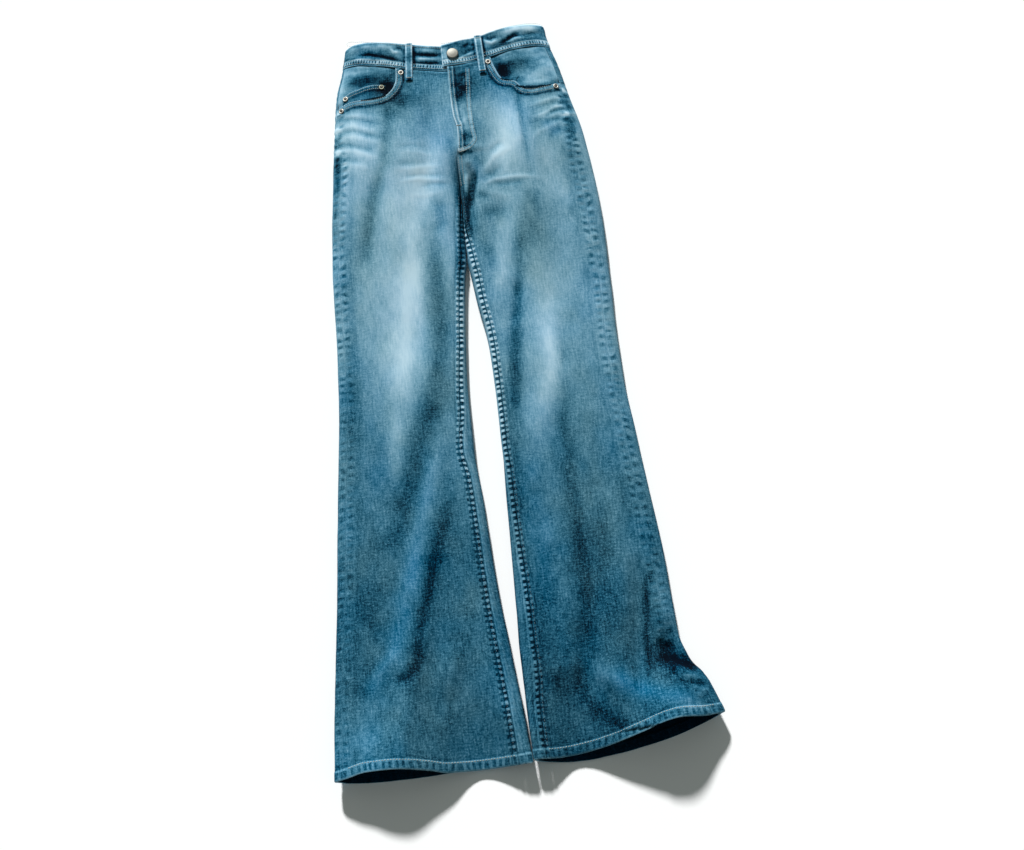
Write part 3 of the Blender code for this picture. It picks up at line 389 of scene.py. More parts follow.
# creases, ridges and faded areas on top: height mm, width mm, tone, line of (out, y)
# their tone is partly the wash, partly painted shade in the creases and painted highlight on the ridges
marks = {
    left: (
        # faded thigh and knee, and the valley inside them, darkened by the wash and by painted shade
        (0.0, 40, 0.12, ((60, 70), (70, 10), (86, -60), (100, -100))),
        (0.0, 42, 0.12, ((112, -40), (116, -160), (118, -270), (124, -340))),
        (0.8, 22, 0.19, ((70, -40), (76, -110), (90, -165), (97, -230), (106, -280), (116, -325), (126, -400))),
        (0.0, 9, 0.06, ((80, -80), (92, -160), (100, -240), (110, -300))),
        (-1.2, 14, -0.17, ((48, -40), (48, -120), (51, -200), (52, -250), (62, -292), (74, -322))),
        (-1.0, 16, -0.17, ((56, -270), (70, -310), (84, -345), (97, -385), (108, -424), (122, -460), (137, -520))),
        (-0.6, 9, -0.10, ((66, -318), (74, -340), (84, -352))),
        (-0.5, 5, -0.07, ((52, -226), (60, -268), (66, -300))),
        # lit ridge and sharp valley from the knee to the hem, the ridge paler with painted highlight, the valley darker
        # with painted shade
        (1.4, 13, 0.13, ((46, -330), (68, -385), (80, -420), (90, -450), (104, -490), (116, -535), (130, -585),
                         (145, -635), (158, -665))),
        (1.2, 8, 0.10, ((132, -640), (158, -668), (180, -686), (186, -716), (186, -750))),
        (-2.2, 11, -0.20, ((54, -436), (68, -480), (80, -512), (91, -545), (100, -580), (110, -610), (120, -640),
                           (127, -668))),
        (-0.8, 5, -0.08, ((78, -505), (92, -548), (103, -590), (114, -624), (122, -655))),
        (-2.6, 8, -0.26, ((116, -640), (126, -676), (142, -692), (166, -697))),
        (0.0, 9, -0.10, ((124, -676), (134, -706), (150, -710))),
        (0.0, 16, -0.07, ((178, -540), (180, -600), (176, -650))),
        (0.0, 22, 0.08, ((196, -700), (206, -750), (212, -800))),
        (0.5, 14, 0.05, ((60, -700), (70, -730), (92, -742))),
        # hip: soft fold from the pocket mouth, darkened with painted shade, and the whiskers beside it
        (-1.3, 8, -0.16, ((80, 146), (92, 122), (95, 100), (99, 72), (104, 44), (112, 20))),
        (-1.6, 11, -0.24, ((104, 50), (112, 22), (122, 0), (130, -30), (137, -60), (146, -100), (152, -130))),
        (0.0, 24, 0.17, ((140, 132), (142, 92), (140, 56), (146, 20))),
        (0.25, 4, 0.10, ((172, 133), (150, 128), (128, 124), (98, 116))),
        (-0.3, 3, -0.13, ((168, 125), (142, 121), (116, 111), (104, 108))),
        (0.25, 4, 0.12, ((174, 113), (144, 110), (118, 99), (100, 94))),
        (-0.3, 3, -0.12, ((168, 104), (142, 101), (116, 89), (104, 84))),
        (0.25, 4, 0.12, ((172, 96), (144, 92), (114, 79), (100, 74))),
        (-0.3, 4, -0.15, ((168, 86), (148, 79), (126, 69), (112, 64))),
        (0.25, 4, 0.13, ((172, 76), (146, 70), (122, 57), (108, 54))),
        (-0.3, 5, -0.14, ((170, 64), (150, 56), (132, 49))),
        (0.2, 4, 0.06, ((160, 50), (140, 44), (122, 38))),
        (0.0, 16, -0.26, ((64, 160), (72, 142), (80, 132))),
        (0.0, 16, -0.13, ((90, 136), (104, 134))),
        (0.0, 7, -0.14, ((10, 96), (6, 60), (6, 20), (4, -40))),
        (0.0, 16, 0.14, ((134, 142), (146, 122), (148, 104))),
        (0.0, 18, 0.11, ((34, 80), (36, 44), (56, 24), (62, -40))),
        (0.0, 8, -0.16, ((172, 66), (172, 30), (178, 0), (184, -50), (186, -90))),
        (0.0, 9, 0.11, ((73, -70), (75, -150), (77, -250))),
        (0.0, 8, -0.10, ((44, -80), (44, -140), (44, -250))),
        (0.0, 11, 0.13, ((120, -316), (127, -380), (134, -440))),
        (0.0, 14, -0.10, ((126, -500), (150, -510), (176, -516))),
        (0.0, 16, -0.10, ((178, -650), (190, -700), (186, -730))),
        (0.0, 7, -0.10, ((118, -622), (122, -650))),
        (0.0, 20, -0.05, ((40, 120), (56, 90), (64, 70))),
        (0.0, 20, -0.08, ((36, 160), (60, 148), (92, 146))),
        (0.0, 12, -0.10, ((70, 128), (84, 122), (98, 116))),
        # painted shadow in the slit between the legs
        (0.0, 6, -0.50, ((2, 34), (2, 0), (2, -40), (5, -80), (11, -112), (15, -140), (16, -176))),
        (0.0, 6, -0.26, ((169, 72), (170, 48), (173, 24), (176, 8))),
        (0.3, 4, 0.06, ((98, 34), (70, 31), (40, 34), (14, 30))),
        (-0.2, 5, -0.08, ((92, 40), (64, 41), (36, 37))),
        (-0.3, 3, -0.08, ((84, 20), (50, 22), (14, 17))),
        (0.3, 3, 0.07, ((88, 13), (56, 15), (40, 13), (16, 8))),
        (-0.4, 4, -0.09, ((60, 3), (40, 6), (12, 3))),
        (0.2, 4, 0.06, ((74, -8), (50, -10), (20, -6))),
        (-0.2, 3, -0.06, ((90, 66), (60, 68), (34, 62))),
        (0.2, 3, 0.05, ((80, 60), (54, 56), (30, 50))),
        (-0.9, 8, -0.13, ((46, -14), (34, -30), (32, -52), (44, -76))),
        (0.0, 12, -0.12, ((158, -30), (168, -60), (172, -110), (176, -180))),
        (0.0, 10, -0.14, ((172, -150), (176, -260), (184, -360), (190, -430))),
        (0.0, 16, 0.06, ((20, -60), (28, -110), (30, -160))),
    ),
    right: (
        (0.0, 26, 0.18, ((60, 132), (76, 96), (76, 56), (66, 20))),
        (0.0, 26, 0.10, ((124, 70), (126, 30), (140, -20), (140, -60))),
        (-1.5, 5, -0.17, ((99, 156), (98, 116), (99, 78), (101, 40), (105, 10))),
        (0.8, 4, 0.07, ((94, 120), (93, 84), (94, 50))),
        (0.0, 15, -0.12, ((124, 86), (140, 74), (150, 66))),
        (0.0, 12, -0.13, ((34, 110), (34, 80), (38, 60))),
        (0.0, 20, -0.12, ((22, 168), (44, 156), (60, 146))),
        (0.0, 9, -0.16, ((12, 188), (13, 150), (12, 126))),
        (0.0, 20, 0.15, ((54, 74), (64, 32), (60, -2))),
        (0.0, 12, -0.12, ((104, -16), (104, -46))),
        (0.0, 10, -0.14, ((160, 62), (166, 20), (166, -40))),
        (0.0, 12, 0.08, ((142, -16), (146, -66))),
        (0.0, 8, -0.16, ((64, -176), (60, -212), (54, -250), (48, -300), (44, -366))),
        (0.0, 17, -0.11, ((126, -430), (138, -500), (128, -590), (118, -700))),
        (0.0, 10, 0.08, ((168, -530), (172, -590))),
        (0.0, 12, -0.16, ((166, -690), (186, -712), (210, -722), (232, -726))),
        (0.0, 9, -0.13, ((112, -774), (136, -784))),
        (0.0, 9, 0.20, ((206, -770), (240, -774))),
        (0.0, 14, -0.10, ((26, 190), (28, 150), (28, 122))),
        (-0.4, 3, -0.14, ((12, 180), (20, 168), (14, 158), (22, 148), (13, 138))),
        (0.3, 3, 0.12, ((16, 112), (22, 104), (14, 96), (20, 90))),
        (-0.3, 3, -0.14, ((8, 84), (20, 78), (12, 70), (22, 62), (12, 56))),
        (0.0, 7, -0.18, ((12, -26), (14, -60), (17, -86))),
        # painted shadow in the slit between the legs
        (0.0, 4.5, -0.50, ((3, 34), (4, 0), (5, -30), (5, -60), (8, -90))),
        (0.0, 6, -0.32, ((164, 128), (170, 104), (171, 74), (169, 44))),
        (0.0, 10, 0.12, ((200, -596), (206, -632), (211, -668))),
        # whiskers at the side seam
        (0.35, 3, 0.12, ((166, 126), (144, 122), (122, 115), (108, 112))),
        (-0.3, 3, -0.13, ((166, 119), (142, 114), (118, 107))),
        (0.4, 3, 0.18, ((168, 108), (150, 108), (138, 100), (116, 93))),
        (-0.5, 3, -0.34, ((168, 104), (156, 105), (144, 101), (136, 96))),
        (0.3, 3, 0.13, ((168, 98), (148, 95), (130, 87))),
        (-0.3, 4, -0.14, ((166, 89), (142, 88), (120, 86), (106, 80))),
        (0.3, 4, 0.15, ((164, 86), (142, 78), (122, 70), (108, 56))),
        (-0.25, 5, -0.10, ((160, 76), (142, 66), (136, 52))),
        # creases that fan from the fork, darkened with painted shade, near black in the deepest fold
        (0.35, 4, 0.15, ((30, 14), (42, 24), (52, 38), (66, 46), (82, 48))),
        (-0.7, 5, -0.13, ((48, 44), (58, 56), (70, 60))),
        (0.35, 3, 0.16, ((24, 8), (36, -2), (50, 4), (70, 5), (98, 1), (120, -4))),
        (-0.6, 4, -0.13, ((44, -4), (60, -3), (92, -6))),
        (-0.6, 5, -0.14, ((36, 10), (50, 14), (62, 26))),
        (-2.6, 4.5, -0.52, ((26, 24), (20, 6), (15, -12), (9, -42))),
        (0.8, 4, 0.18, ((14, 20), (8, 6), (6, -14))),
        (-0.6, 6, -0.22, ((22, -14), (32, -20), (40, -24))),
        (-0.6, 9, -0.17, ((22, -46), (44, -46), (66, -42))),
        (0.5, 7, 0.08, ((34, -14), (54, -20), (76, -26))),
        (0.0, 14, -0.10, ((26, 44), (34, 36), (42, 30))),
        # valley with painted shade and ridge with painted highlight down the inner thigh
        (0.0, 20, -0.12, ((108, -18), (96, -60), (84, -96), (76, -124))),
        (1.2, 13, 0.17, ((70, -40), (58, -74), (50, -104), (44, -140), (38, -176))),
        (-1.2, 8, -0.16, ((82, -76), (72, -110), (68, -150), (62, -190))),
        (-1.8, 7, -0.22, ((68, -146), (63, -176), (58, -202), (48, -222))),
        (-1.2, 9, -0.22, ((58, -206), (50, -240), (46, -272), (40, -310), (36, -360))),
        (0.0, 10, -0.13, ((22, -84), (32, -112), (36, -140))),
        (0.0, 12, -0.12, ((34, -300), (32, -400), (30, -520))),
        # faded knee and the long valley below it, darkened with painted shade
        (0.0, 26, 0.08, ((104, -130), (112, -180), (118, -220))),
        (0.8, 18, 0.20, ((92, -176), (98, -230), (97, -280), (90, -312), (80, -345), (68, -390))),
        (0.0, 7, 0.05, ((100, -220), (98, -290), (92, -320))),
        (-0.9, 6, -0.10, ((116, -216), (118, -260), (113, -300))),
        (-1.2, 12, -0.15, ((118, -268), (112, -320), (104, -370), (103, -430), (103, -500), (103, -560))),
        (-1.4, 12, -0.17, ((105, -480), (103, -570), (102, -630), (98, -680), (88, -712))),
        (-1.2, 10, -0.15, ((94, -690), (80, -718), (86, -744), (102, -766), (124, -784))),
        (0.0, 9, -0.10, ((100, -756), (116, -776), (136, -782))),
        (0.8, 16, 0.07, ((60, -330), (58, -400), (56, -470))),
        (0.5, 12, 0.08, ((52, -505), (66, -522), (76, -540))),
        (0.8, 18, 0.05, ((146, -450), (156, -540), (152, -620))),
        (1.6, 12, 0.13, ((96, -700), (112, -716), (134, -730), (158, -744))),
        (1.2, 12, 0.10, ((150, -740), (176, -752), (206, -760), (236, -768))),
        # narrow crease, the deep dent and the folds that end in it, painted near black as shade
        (-1.8, 4, -0.24, ((190, -580), (184, -606), (179, -636), (175, -668), (173, -704), (169, -740))),
        (-3.2, 9, -0.46, ((182, -690), (196, -700), (212, -706), (232, -718), (242, -726))),
        (-1.2, 5, -0.20, ((196, -712), (204, -720), (196, -728))),
        (-1.2, 5, -0.20, ((186, -684), (200, -688), (212, -694))),
        (-0.8, 6, -0.16, ((186, -676), (200, -684), (212, -688))),
        (1.6, 7, 0.16, ((182, -722), (200, -720), (222, -730), (246, -738))),
        (-0.8, 4, -0.14, ((200, -738), (222, -738), (246, -746))),
        (0.6, 4, 0.12, ((214, -752), (234, -752), (250, -754))),
        (0.0, 12, -0.06, ((40, -560), (40, -640), (44, -700))),
        (0.0, 14, -0.10, ((50, -700), (62, -726), (76, -740))),
    ),
}
# painted light: lines where the lit cloth is painted bluer, and the shaded cloth greyer when below zero: width,
# strength, line
blues = {
    left: (
        (14, 1.1, ((46, -330), (80, -420), (104, -490), (130, -585), (158, -665), (184, -700), (196, -790))),
        (26, 0.8, ((24, 180), (28, 110), (22, 60), (22, 0), (24, -60), (28, -130))),
        (12, 0.7, ((158, 60), (160, 0), (172, -80), (176, -160))),
        (22, 0.4, ((126, -300), (140, -400), (146, -480))),
        (10, -0.8, ((98, 110), (104, 44), (122, 0), (137, -60), (150, -120))),
        (16, -0.5, ((52, -60), (50, -200), (60, -290), (100, -400))),
        (30, -0.4, ((126, -100), (130, -200), (130, -280))),
        (34, -0.5, ((70, -620), (80, -720), (90, -800))),
    ),
    right: (
        (24, 0.7, ((50, 170), (80, 140), (86, 100), (70, 60))),
        (12, 0.8, ((22, 40), (30, 10), (30, -10))),
        (16, 0.7, ((26, -80), (34, -130), (30, -200), (34, -280))),
        (20, 0.9, ((60, -340), (56, -430), (52, -560), (56, -660))),
        (14, 1.1, ((104, -706), (134, -732), (180, -752), (236, -766))),
        (20, 0.5, ((162, -60), (164, -180), (166, -330), (168, -520))),
        (10, 0.9, ((124, 88), (142, 72), (154, 60))),
        (26, -0.9, ((110, -20), (94, -60), (84, -120), (92, -180))),
        (14, -0.6, ((112, -330), (104, -400), (104, -500), (102, -640))),
        (22, -0.5, ((130, -420), (134, -520), (128, -640))),
        (16, -0.5, ((110, 120), (140, 112), (112, 60))),
    ),
}
# small worn or dark spots: out, y, width, tone
spots = {
    left: (
        (167, 109, 5, 0.55), (169, 72, 4.5, 0.6), (162, 134, 5, 0.40), (168, 92, 6, -0.30), (169, 82, 6, -0.34),
        (170, 62, 6, -0.36), (171, 52, 6, -0.32), (172, 42, 6, -0.24), (174, 34, 4, 0.16), (176, 12, 6, -0.16),
        (112, 66, 5, 0.05), (140, -24, 7, 0.05), (60, -560, 3, 0.08), (70, -655, 3, 0.08),
    ),
    right: (
        (165, 137, 4.5, 0.55), (165, 96, 5, 0.60), (173, 97, 5, 0.45), (166, 127, 5, -0.34), (164, 117, 5.5, -0.30),
        (164, 88, 4.5, -0.36), (165, 78, 5, -0.26), (164, 68, 5, -0.30), (165, 58, 5, -0.28), (164, 47, 5, -0.16),
        (152, 108, 4, 0.10), (9, 160, 6, -0.26), (22, 176, 5, -0.34), (20, 154, 7, -0.30), (14, 142, 8, -0.30),
        (12, 132, 6, -0.12), (10, 116, 6, 0.08), (18, 98, 9, 0.06), (14, 75, 8, -0.34), (10, 66, 7, -0.24),
        (23, 72, 4, -0.20), (20, 50, 6, -0.24), (8, 45, 6, -0.20), (190, -594, 5, -0.22), (188, -616, 3, -0.16),
        (192, -664, 4, 0.10), (36, -152, 4, 0.10), (48, -215, 3, 0.18),
    ),
}

blueLook = {"waves": ((0.45, 34, 38, 62), (0.3, 36, 14, 22)), "limit": 1.4}     # strength, seed, lengths
washWaves = ((0.04, 31, 30, 56), (0.03, 32, 11, 20))
clothWaves = ((0.42, 11, 34, 48), (0.16, 12, 13, 19))
knot = {"flatness": 0.8, "height": 0.8, "from": 0.3}        # worn spots paler than this also stand proud


# bluer where lit and greyer where shaded, as painted light, over a random change of hue
def blueness(x, y):
    value = waves(blueLook["waves"], x, y)
    for side in (left, right):
        lines = [(0, *line) for line in blues[side]]
        value += np.where(x * side > 0, strokes(lines, side * x, y)[1], 0.0)
    return np.clip(value, -blueLook["limit"], blueLook["limit"])


def mouthLine(side, count):
    rows = np.array(pattern["mouths"][side], float)
    lengths = np.concatenate(([0.0], np.cumsum(np.hypot(*np.diff(rows, axis=0).T))))
    along = np.linspace(0.0, lengths[-1], count + 1)
    places = [smoothLine(list(zip(lengths, rows[:, c])))(along) for c in (0, 1)]
    return np.stack(places, axis=-1)


def washTone(side, out, y):
    return washDown[side](y) + waves(washWaves, side * out, y)


# how each seam and edge is shaped and shaded, in mm from it: see profile and sewnEdge
legSeams = {
    "aboveHem": (-800, 12), "belowFork": (-8, 18),      # where the puckers end and the inseam starts: y, run
    "outseam": {
        "lobes": ((5.4, 3.2, 41), (-5.2, 3.4, 44)),     # place, width and seed of the puckers on each side of it
        "lobeHeight": 0.55, "period": 10.5,
        "ridges": ((0, 1.6, 0.3, 0), (0, 1.8, 0, 0.05), (17, 3.5, 0, -0.05)),
        "groove": ((0, 0.7, -0.25, 0),),
    },
    "inseam": {
        "welt": (-0.4, 1.2, 5.6, 1.4), "weltHeight": 0.45,      # low, run, high, run
        "strip": (-7.2, 1.2, -0.4, 1.2), "stripHeight": 0.35,
        "seed": 51, "period": 8.0, "pucker": 0.35,
        "ridges": ((0, 0.8, -0.5, 0), (6.4, 1.0, -0.5, 0), (-8.2, 1.0, -0.5, 0), (-0.4, 0.9, 0, -0.14),
                   (7.0, 1.6, 0, -0.07), (-8.8, 1.2, 0, -0.10), (-6, 3.0, 0, 0.06)),
    },
    "hem": {
        "seed": 61, "period": 9.0, "lip": (14.0, 1.4), "crimps": ((6.5, 4.6, 0.35, 0),),
        "ridges": ((12.6, 1.0, 0, 0.30), (15.5, 1.6, 0, -0.12)),
        "steps": ((14.0, 1.4, 0.55, 0.03), (1.6, 1.6, -0.9, 0), (2.0, 1.4, 0, 0.32)),
    },
}
mouthEdge = {
    "seed": 71, "period": 3.7, "lip": (9.2, 1.8), "crimps": ((4.6, 3.0, 0.28, 0), (4.8, 2.6, 0, 0.18)),
    "onLip": ((2.4, 0.8, 0, -0.10), (7.0, 0.8, 0, -0.10)),
    "ridges": ((1.9, 0.8, -0.5, 0), (7.2, 0.9, -0.5, 0), (10.6, 1.7, 0, -0.44), (13.5, 3.0, 0, -0.10)),
    "steps": ((9.2, 1.8, 0.55, -0.03), (0.9, 0.9, -0.7, 0), (1.6, 1.0, 0, 0.34)),
}
waistEdge = {
    "seed": 81, "period": 6.4, "crimps": ((3.4, 2.4, 0.175, 0),),
    "ridges": ((3.4, 2.4, 0.35, 0), (2.6, 1.2, 0, 0.06), (6.5, 3.5, 0, -0.08)),
    "steps": ((1.1, 1.1, -0.5, 0), (1.4, 1.0, 0, -0.30)),
}
fly = {
    "from": (44, 8),                                    # y where its edge starts, run
    "edge": {
        "seed": 91, "period": 6.0, "lip": (8.2, 1.6), "crimps": ((4.4, 2.6, 0.25, 0),),
        "ridges": ((2.1, 0.8, -0.45, 0), (6.6, 0.8, -0.45, 0), (3.6, 1.0, 0, -0.10)),
        "steps": ((8.2, 1.6, 0.5, 0), (2.0, 1.0, 0, 0.30)),
    },
    "wander": (0.5, 95, 13.0),                          # how far its worn lines stray, seed, period
    "worn": ((6.6, 1.1, 0, 0.26), (9.4, 1.6, 0, -0.22)),
    "curve": ((30, 185), (26, 115), (27, 82), (29, 69), (20, 57), (6, 52)),     # the sewn line: out, y
    "alongCurve": {
        "seed": 93, "period": 6.0, "crimps": ((0, 3.6, 0.25, 0), (0, 3.2, 0, 0.10)),
        "ridges": ((0, 3.0, 0.35, 0), (0, 1.6, 0, 0.16), (4, 1.6, 0, -0.10)), "steps": (),
    },
    "bar": (1, 2, 24, 2),                               # folds under the end of the zip: low, run, high, run
    "barFolds": ((53.5, 1.7, 0, 0.26), (58.5, 2.2, 0, -0.30), (49, 2.4, 0, -0.20)),
    "raise": ((1.6, 46, 10), (0.805, 172, 10)), "fade": (26, 26),      # height, y, run of the lap; out, run
}
seamRows = {"kneeSlip": 5.5, "slipFrom": -330, "slipRun": 70, "none": -60.0, "inseamTop": -8}
mouthPlaces = {side: mouthLine(side, 28) for side in (left, right)}
hemReach = 230.0        # how far up from the hem the rows of the grid start to bend towards it


def seamRelief(side, out, y):
    # height and tone that the leg seams and the hem give the cloth on top
    outseam, inseam = legSeams["outseam"], legSeams["inseam"]
    hemLine, hemRun = legSeams["aboveHem"]
    forkLine, forkRun = legSeams["belowFork"]
    aboveHem, belowFork = ease((y - hemLine) / hemRun), ease((forkLine - y) / forkRun)
    away = fromOutseam(side, out, y)
    relief = aboveHem * profile(away, outseam["ridges"]) + profile(away, outseam["groove"])
    for place, width, seed in outseam["lobes"]:
        wave = pucker(seed + side, y, outseam["period"])
        relief[0] += outseam["lobeHeight"] * bump(away - place, width) * wave * aboveHem
    away = fromInseam(side, out, y)
    welt, strip = flatTop(away, *inseam["welt"]), flatTop(away, *inseam["strip"])
    ripples = inseam["pucker"] * (welt + strip) * pucker(inseam["seed"] + side, y, inseam["period"]) * aboveHem
    relief += belowFork * profile(away, inseam["ridges"])
    relief[0] += belowFork * (inseam["weltHeight"] * welt + inseam["stripHeight"] * strip + ripples)
    return relief + sewnEdge(legSeams["hem"], y - frontHem[side](out), out, side)


def seamTraces(side, out, y, under=False):
    # distances from the leg seams and the hem, in mm, for the finish to draw its stitched puckers
    beyond = np.where(under, seamRows["none"], 0.0)
    hem = np.where(under, backHem[side](out), frontHem[side](out))
    # the rows drift off the joint below the left knee
    drift = ease((seamRows["slipFrom"] - y) / seamRows["slipRun"]) * (side == left)
    inner = fromInseam(side, out, y) - seamRows["kneeSlip"] * drift
    return {
        "inseam": np.where(y < seamRows["inseamTop"], inner, seamRows["none"]) + beyond,
        "outseam": fromOutseam(side, out, y) + beyond,
        "hem": y - hem,
    }


def flyRelief(out, y):
    start, run = fly["from"]
    away = out - flyEnd[right](y)
    strength, seed, period = fly["wander"]
    worn = profile(away - strength * pucker(seed, y, period), fly["worn"])
    relief = ease((y - start) / run) * (sewnEdge(fly["edge"], away, y) + worn)
    away, along, _, _ = lineDistance(fly["curve"], out, y)
    return relief + sewnEdge(fly["alongCurve"], away, along) + flatTop(out, *fly["bar"]) * profile(y, fly["barFolds"])


def frontRelief(side, out, y):
    away, along, _, _ = lineDistance(mouthPlaces[side], out, y)
    relief = seamRelief(side, out, y) + sewnEdge(mouthEdge, away, along, side)
    relief += sewnEdge(waistEdge, waistSeam[side](out) - y, out, side)
    return relief + flyRelief(out, y) if side == right else relief


def topRelief(side, out, y, front=True):
    height, tone = (frontRelief if front else seamRelief)(side, out, y)
    drawn, shade = strokes(marks[side], out, y)
    height, tone = height + drawn, tone + shade + washTone(side, out, y)
    for spotOut, spotY, width, shade in spots[side]:
        mark = bump(out - spotOut, width) * bump(y - spotY, knot["flatness"] * width)
        height, tone = height + knot["height"] * mark * (shade > knot["from"]), tone + shade * mark
    return height + waves(clothWaves, side * out, y), tone


def flyRaise(side, out, y):
    if side == left:
        return 0.0
    start, run = fly["fade"]
    return sum(lift * ease((y - low) / reach) for lift, low, reach in fly["raise"]) * (1 - ease((out - start) / run))


def frontSkin(side, out, y, raised=0.0):
    normal = facingOut(side, topPoint, out, y)
    height, tone = topRelief(side, out, y)
    lift = flyRaise(side, out, y) + height + raised
    return topPoint(side, out, y) + normal * np.expand_dims(lift, -1), normal, tone


# sheets made from a grid of places

shift = np.array(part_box("belt_loop_back_centre")[0]) / mm - np.array((-5.0, 175.0, 0.0))      # pattern to frame
shift[2] = 0.0
sheetLook = {
    "wall": 1.3, "edge": 0.35, "edgeAngle": 60, "hemWall": 3.0, "legShare": 0.433,     # a leg's share of the hem's wall
    "traceReach": 90, "traceZero": 100,     # a finish takes 0 to mean that a piece has no such seam
}


def inFrame(points):
    return (np.asarray(points) + shift) * mm


def finishPiece(obj, replaced=()):
    obj.data.shade_smooth()
    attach(obj, "root")
    if replaced:
        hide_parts(*replaced)
    return obj


def objectFrom(builder, name, finishes):
    mesh = bpy.data.meshes.new(name)
    builder.to_mesh(mesh)
    builder.free()
    for finish in finishes:
        mesh.materials.append(materials[finish])
    obj = bpy.data.objects.new(name, mesh)
    bpy.context.scene.collection.objects.link(obj)
    return obj


def clothPiece(name, points, normals, tone, cloth, finishes, slot, wall=sheetLook["wall"], thick=None,
               edge=sheetLook["edge"], traces=None, place=None):
    # points is a grid of places, cloth the same grid in the cut piece, thick the share of the wall at each row
    rows, columns = points.shape[:2]
    builder = bmesh.new()
    bmesh.ops.create_grid(builder, x_segments=columns - 1, y_segments=rows - 1, size=0.5)
    obj = objectFrom(builder, f"{name}_cloth", finishes)
    mesh = obj.data
    flat = np.empty(len(mesh.vertices) * 3)
    mesh.vertices.foreach_get("co", flat)
    flat = flat.reshape(-1, 3)
    j = np.rint((flat[:, 0] + 0.5) * (columns - 1)).astype(int)
    i = np.rint((0.5 - flat[:, 1]) * (rows - 1)).astype(int)
    mesh.vertices.foreach_set("co", inFrame(points[i, j]).ravel())
    mesh.update()
    facing = np.empty(len(mesh.polygons) * 3)
    mesh.polygons.foreach_get("normal", facing)
    corner = np.empty(len(mesh.loops), int)
    mesh.loops.foreach_get("vertex_index", corner)
    outward = normals[i, j][corner[::4]]
    if (facing.reshape(-1, 3) * outward).sum() < 0:
        mesh.flip_normals()
        mesh.loops.foreach_get("vertex_index", corner)
    mesh.uv_layers.new(name="cloth").data.foreach_set("uv", (cloth[i, j][corner] * mm).ravel())
    place = cloth if place is None else place
    drawn = {"tone": tone, "blue": blueness(place[..., 0], place[..., 1])}
    reach = sheetLook["traceReach"]
    for label, distance in (traces or {}).items():
        drawn[label] = np.clip(distance, -reach, reach) + sheetLook["traceZero"]
    for label, values in drawn.items():
        mesh.attributes.new(label, "FLOAT", "POINT").data.foreach_set("value", values[i, j])
    solid = obj.modifiers.new("wall", "SOLIDIFY")
    solid.thickness, solid.offset = wall * mm, -1.0
    solid.material_offset = len(finishes) - 1
    if thick is not None:
        group = obj.vertex_groups.new(name="wall")
        for share in np.unique(thick):
            group.add(np.flatnonzero(thick[i] == share).tolist(), float(share), "REPLACE")
        solid.vertex_group = "wall"
    bevel = obj.modifiers.new("edge", "BEVEL")
    bevel.width, bevel.segments, bevel.limit_method = edge * mm, 2, "ANGLE"
    bevel.angle_limit = math.radians(sheetLook["edgeAngle"])
    return finishPiece(obj, (name,))


# finishes

denimLook = {
    "roughness": 0.88, "sheen": 0.005, "sheenRoughness": 0.6, "bump": 0.35, "bumpDepth": 0.0005,
    "gloss": {"cloth": 0.02, "metal": 0.5},             # specular level
    "cloths": {     # slub, grain, share of the wash, added tone
        "washedDenim": (0.6, 0.62, 1.0, 0.0), "bandDenim": (0.6, 0.6, 1.0, 0.0),
        # the inside of the cloth is painted near black as the shade inside the legs
        "facingDenim": (0.5, 0.5, 1.0, 0.0), "insideDenim": (0.12, 0.2, 0.10, 0.07),
    },
    "yarns": {      # stretch, detail, roughness, start of each noise
        "warp": ((430.0, 62.0, 1.0), 2.0, 0.6), "weft": ((120.0, 400.0, 1.0), 2.0, 0.6, (9.3, 1.7, 0)),
        "speckle": ((400.0, 400.0, 1.0), 1.0, 0.6, (5.5, 2.2, 0)),
        "fine": ((900.0, 700.0, 1.0), 1.0, 0.5, (3.1, 7.7, 0)), "cloudy": ((60.0, 36.0, 1.0), 3.0, 0.55, (1.5, 4.2, 0)),
    },
    "twill": (310.0, 180.0, 0.0), "twillWander": 0.6, "twillDepth": 0.25,
    "bareTone": 1.25, "spread": (1.02, 0.72), "clouds": 0.14, "rough": (0.9, 0.08),
    # the tint from Blue is painted light: lit cloth bluer and brighter, shaded cloth greyer and darker
    "tint": {"Hue": (0.010, 0.5), "Saturation": (0.11, 1.07), "Value": (0.05, 1.04)},     # per unit of blue, at none
}
plainLook = {       # colours, roughness, size of the grain and of the patches, depth of the grain
    "thread": ((0.54, 0.56, 0.51), (0.30, 0.35, 0.36), 0.8, 2600.0, 240.0, 0.5),
    "wornThread": ((0.16, 0.24, 0.28), (0.05, 0.10, 0.14), 0.85, 2600.0, 240.0, 0.5),
    "silverMetal": ((0.42, 0.41, 0.37), (0.378, 0.369, 0.333), 0.58, 3200.0, 420.0, 0.25),
    # metal of the coin pocket's rivet, painted dark as the shade of the pocket mouth it sits in
    "brassMetal": ((0.18, 0.185, 0.14), (0.162, 0.1665, 0.126), 0.55, 3200.0, 420.0, 0.25),
    "buttonMetal": ((0.27, 0.265, 0.235), (0.243, 0.2385, 0.2115), 0.62, 3200.0, 420.0, 0.25),
    "darkMetal": ((0.10, 0.09, 0.08), (0.09, 0.081, 0.072), 0.55, 3200.0, 420.0, 0.25),
    "floor": ((0.92, 0.92, 0.92), (0.92, 0.92, 0.92), 0.9, 30.0, 2.0, 0.0),
}
grainLook = {"detail": 2.0, "patchDetail": 3.0, "roughening": 0.16, "bumpDepth": 0.0002}
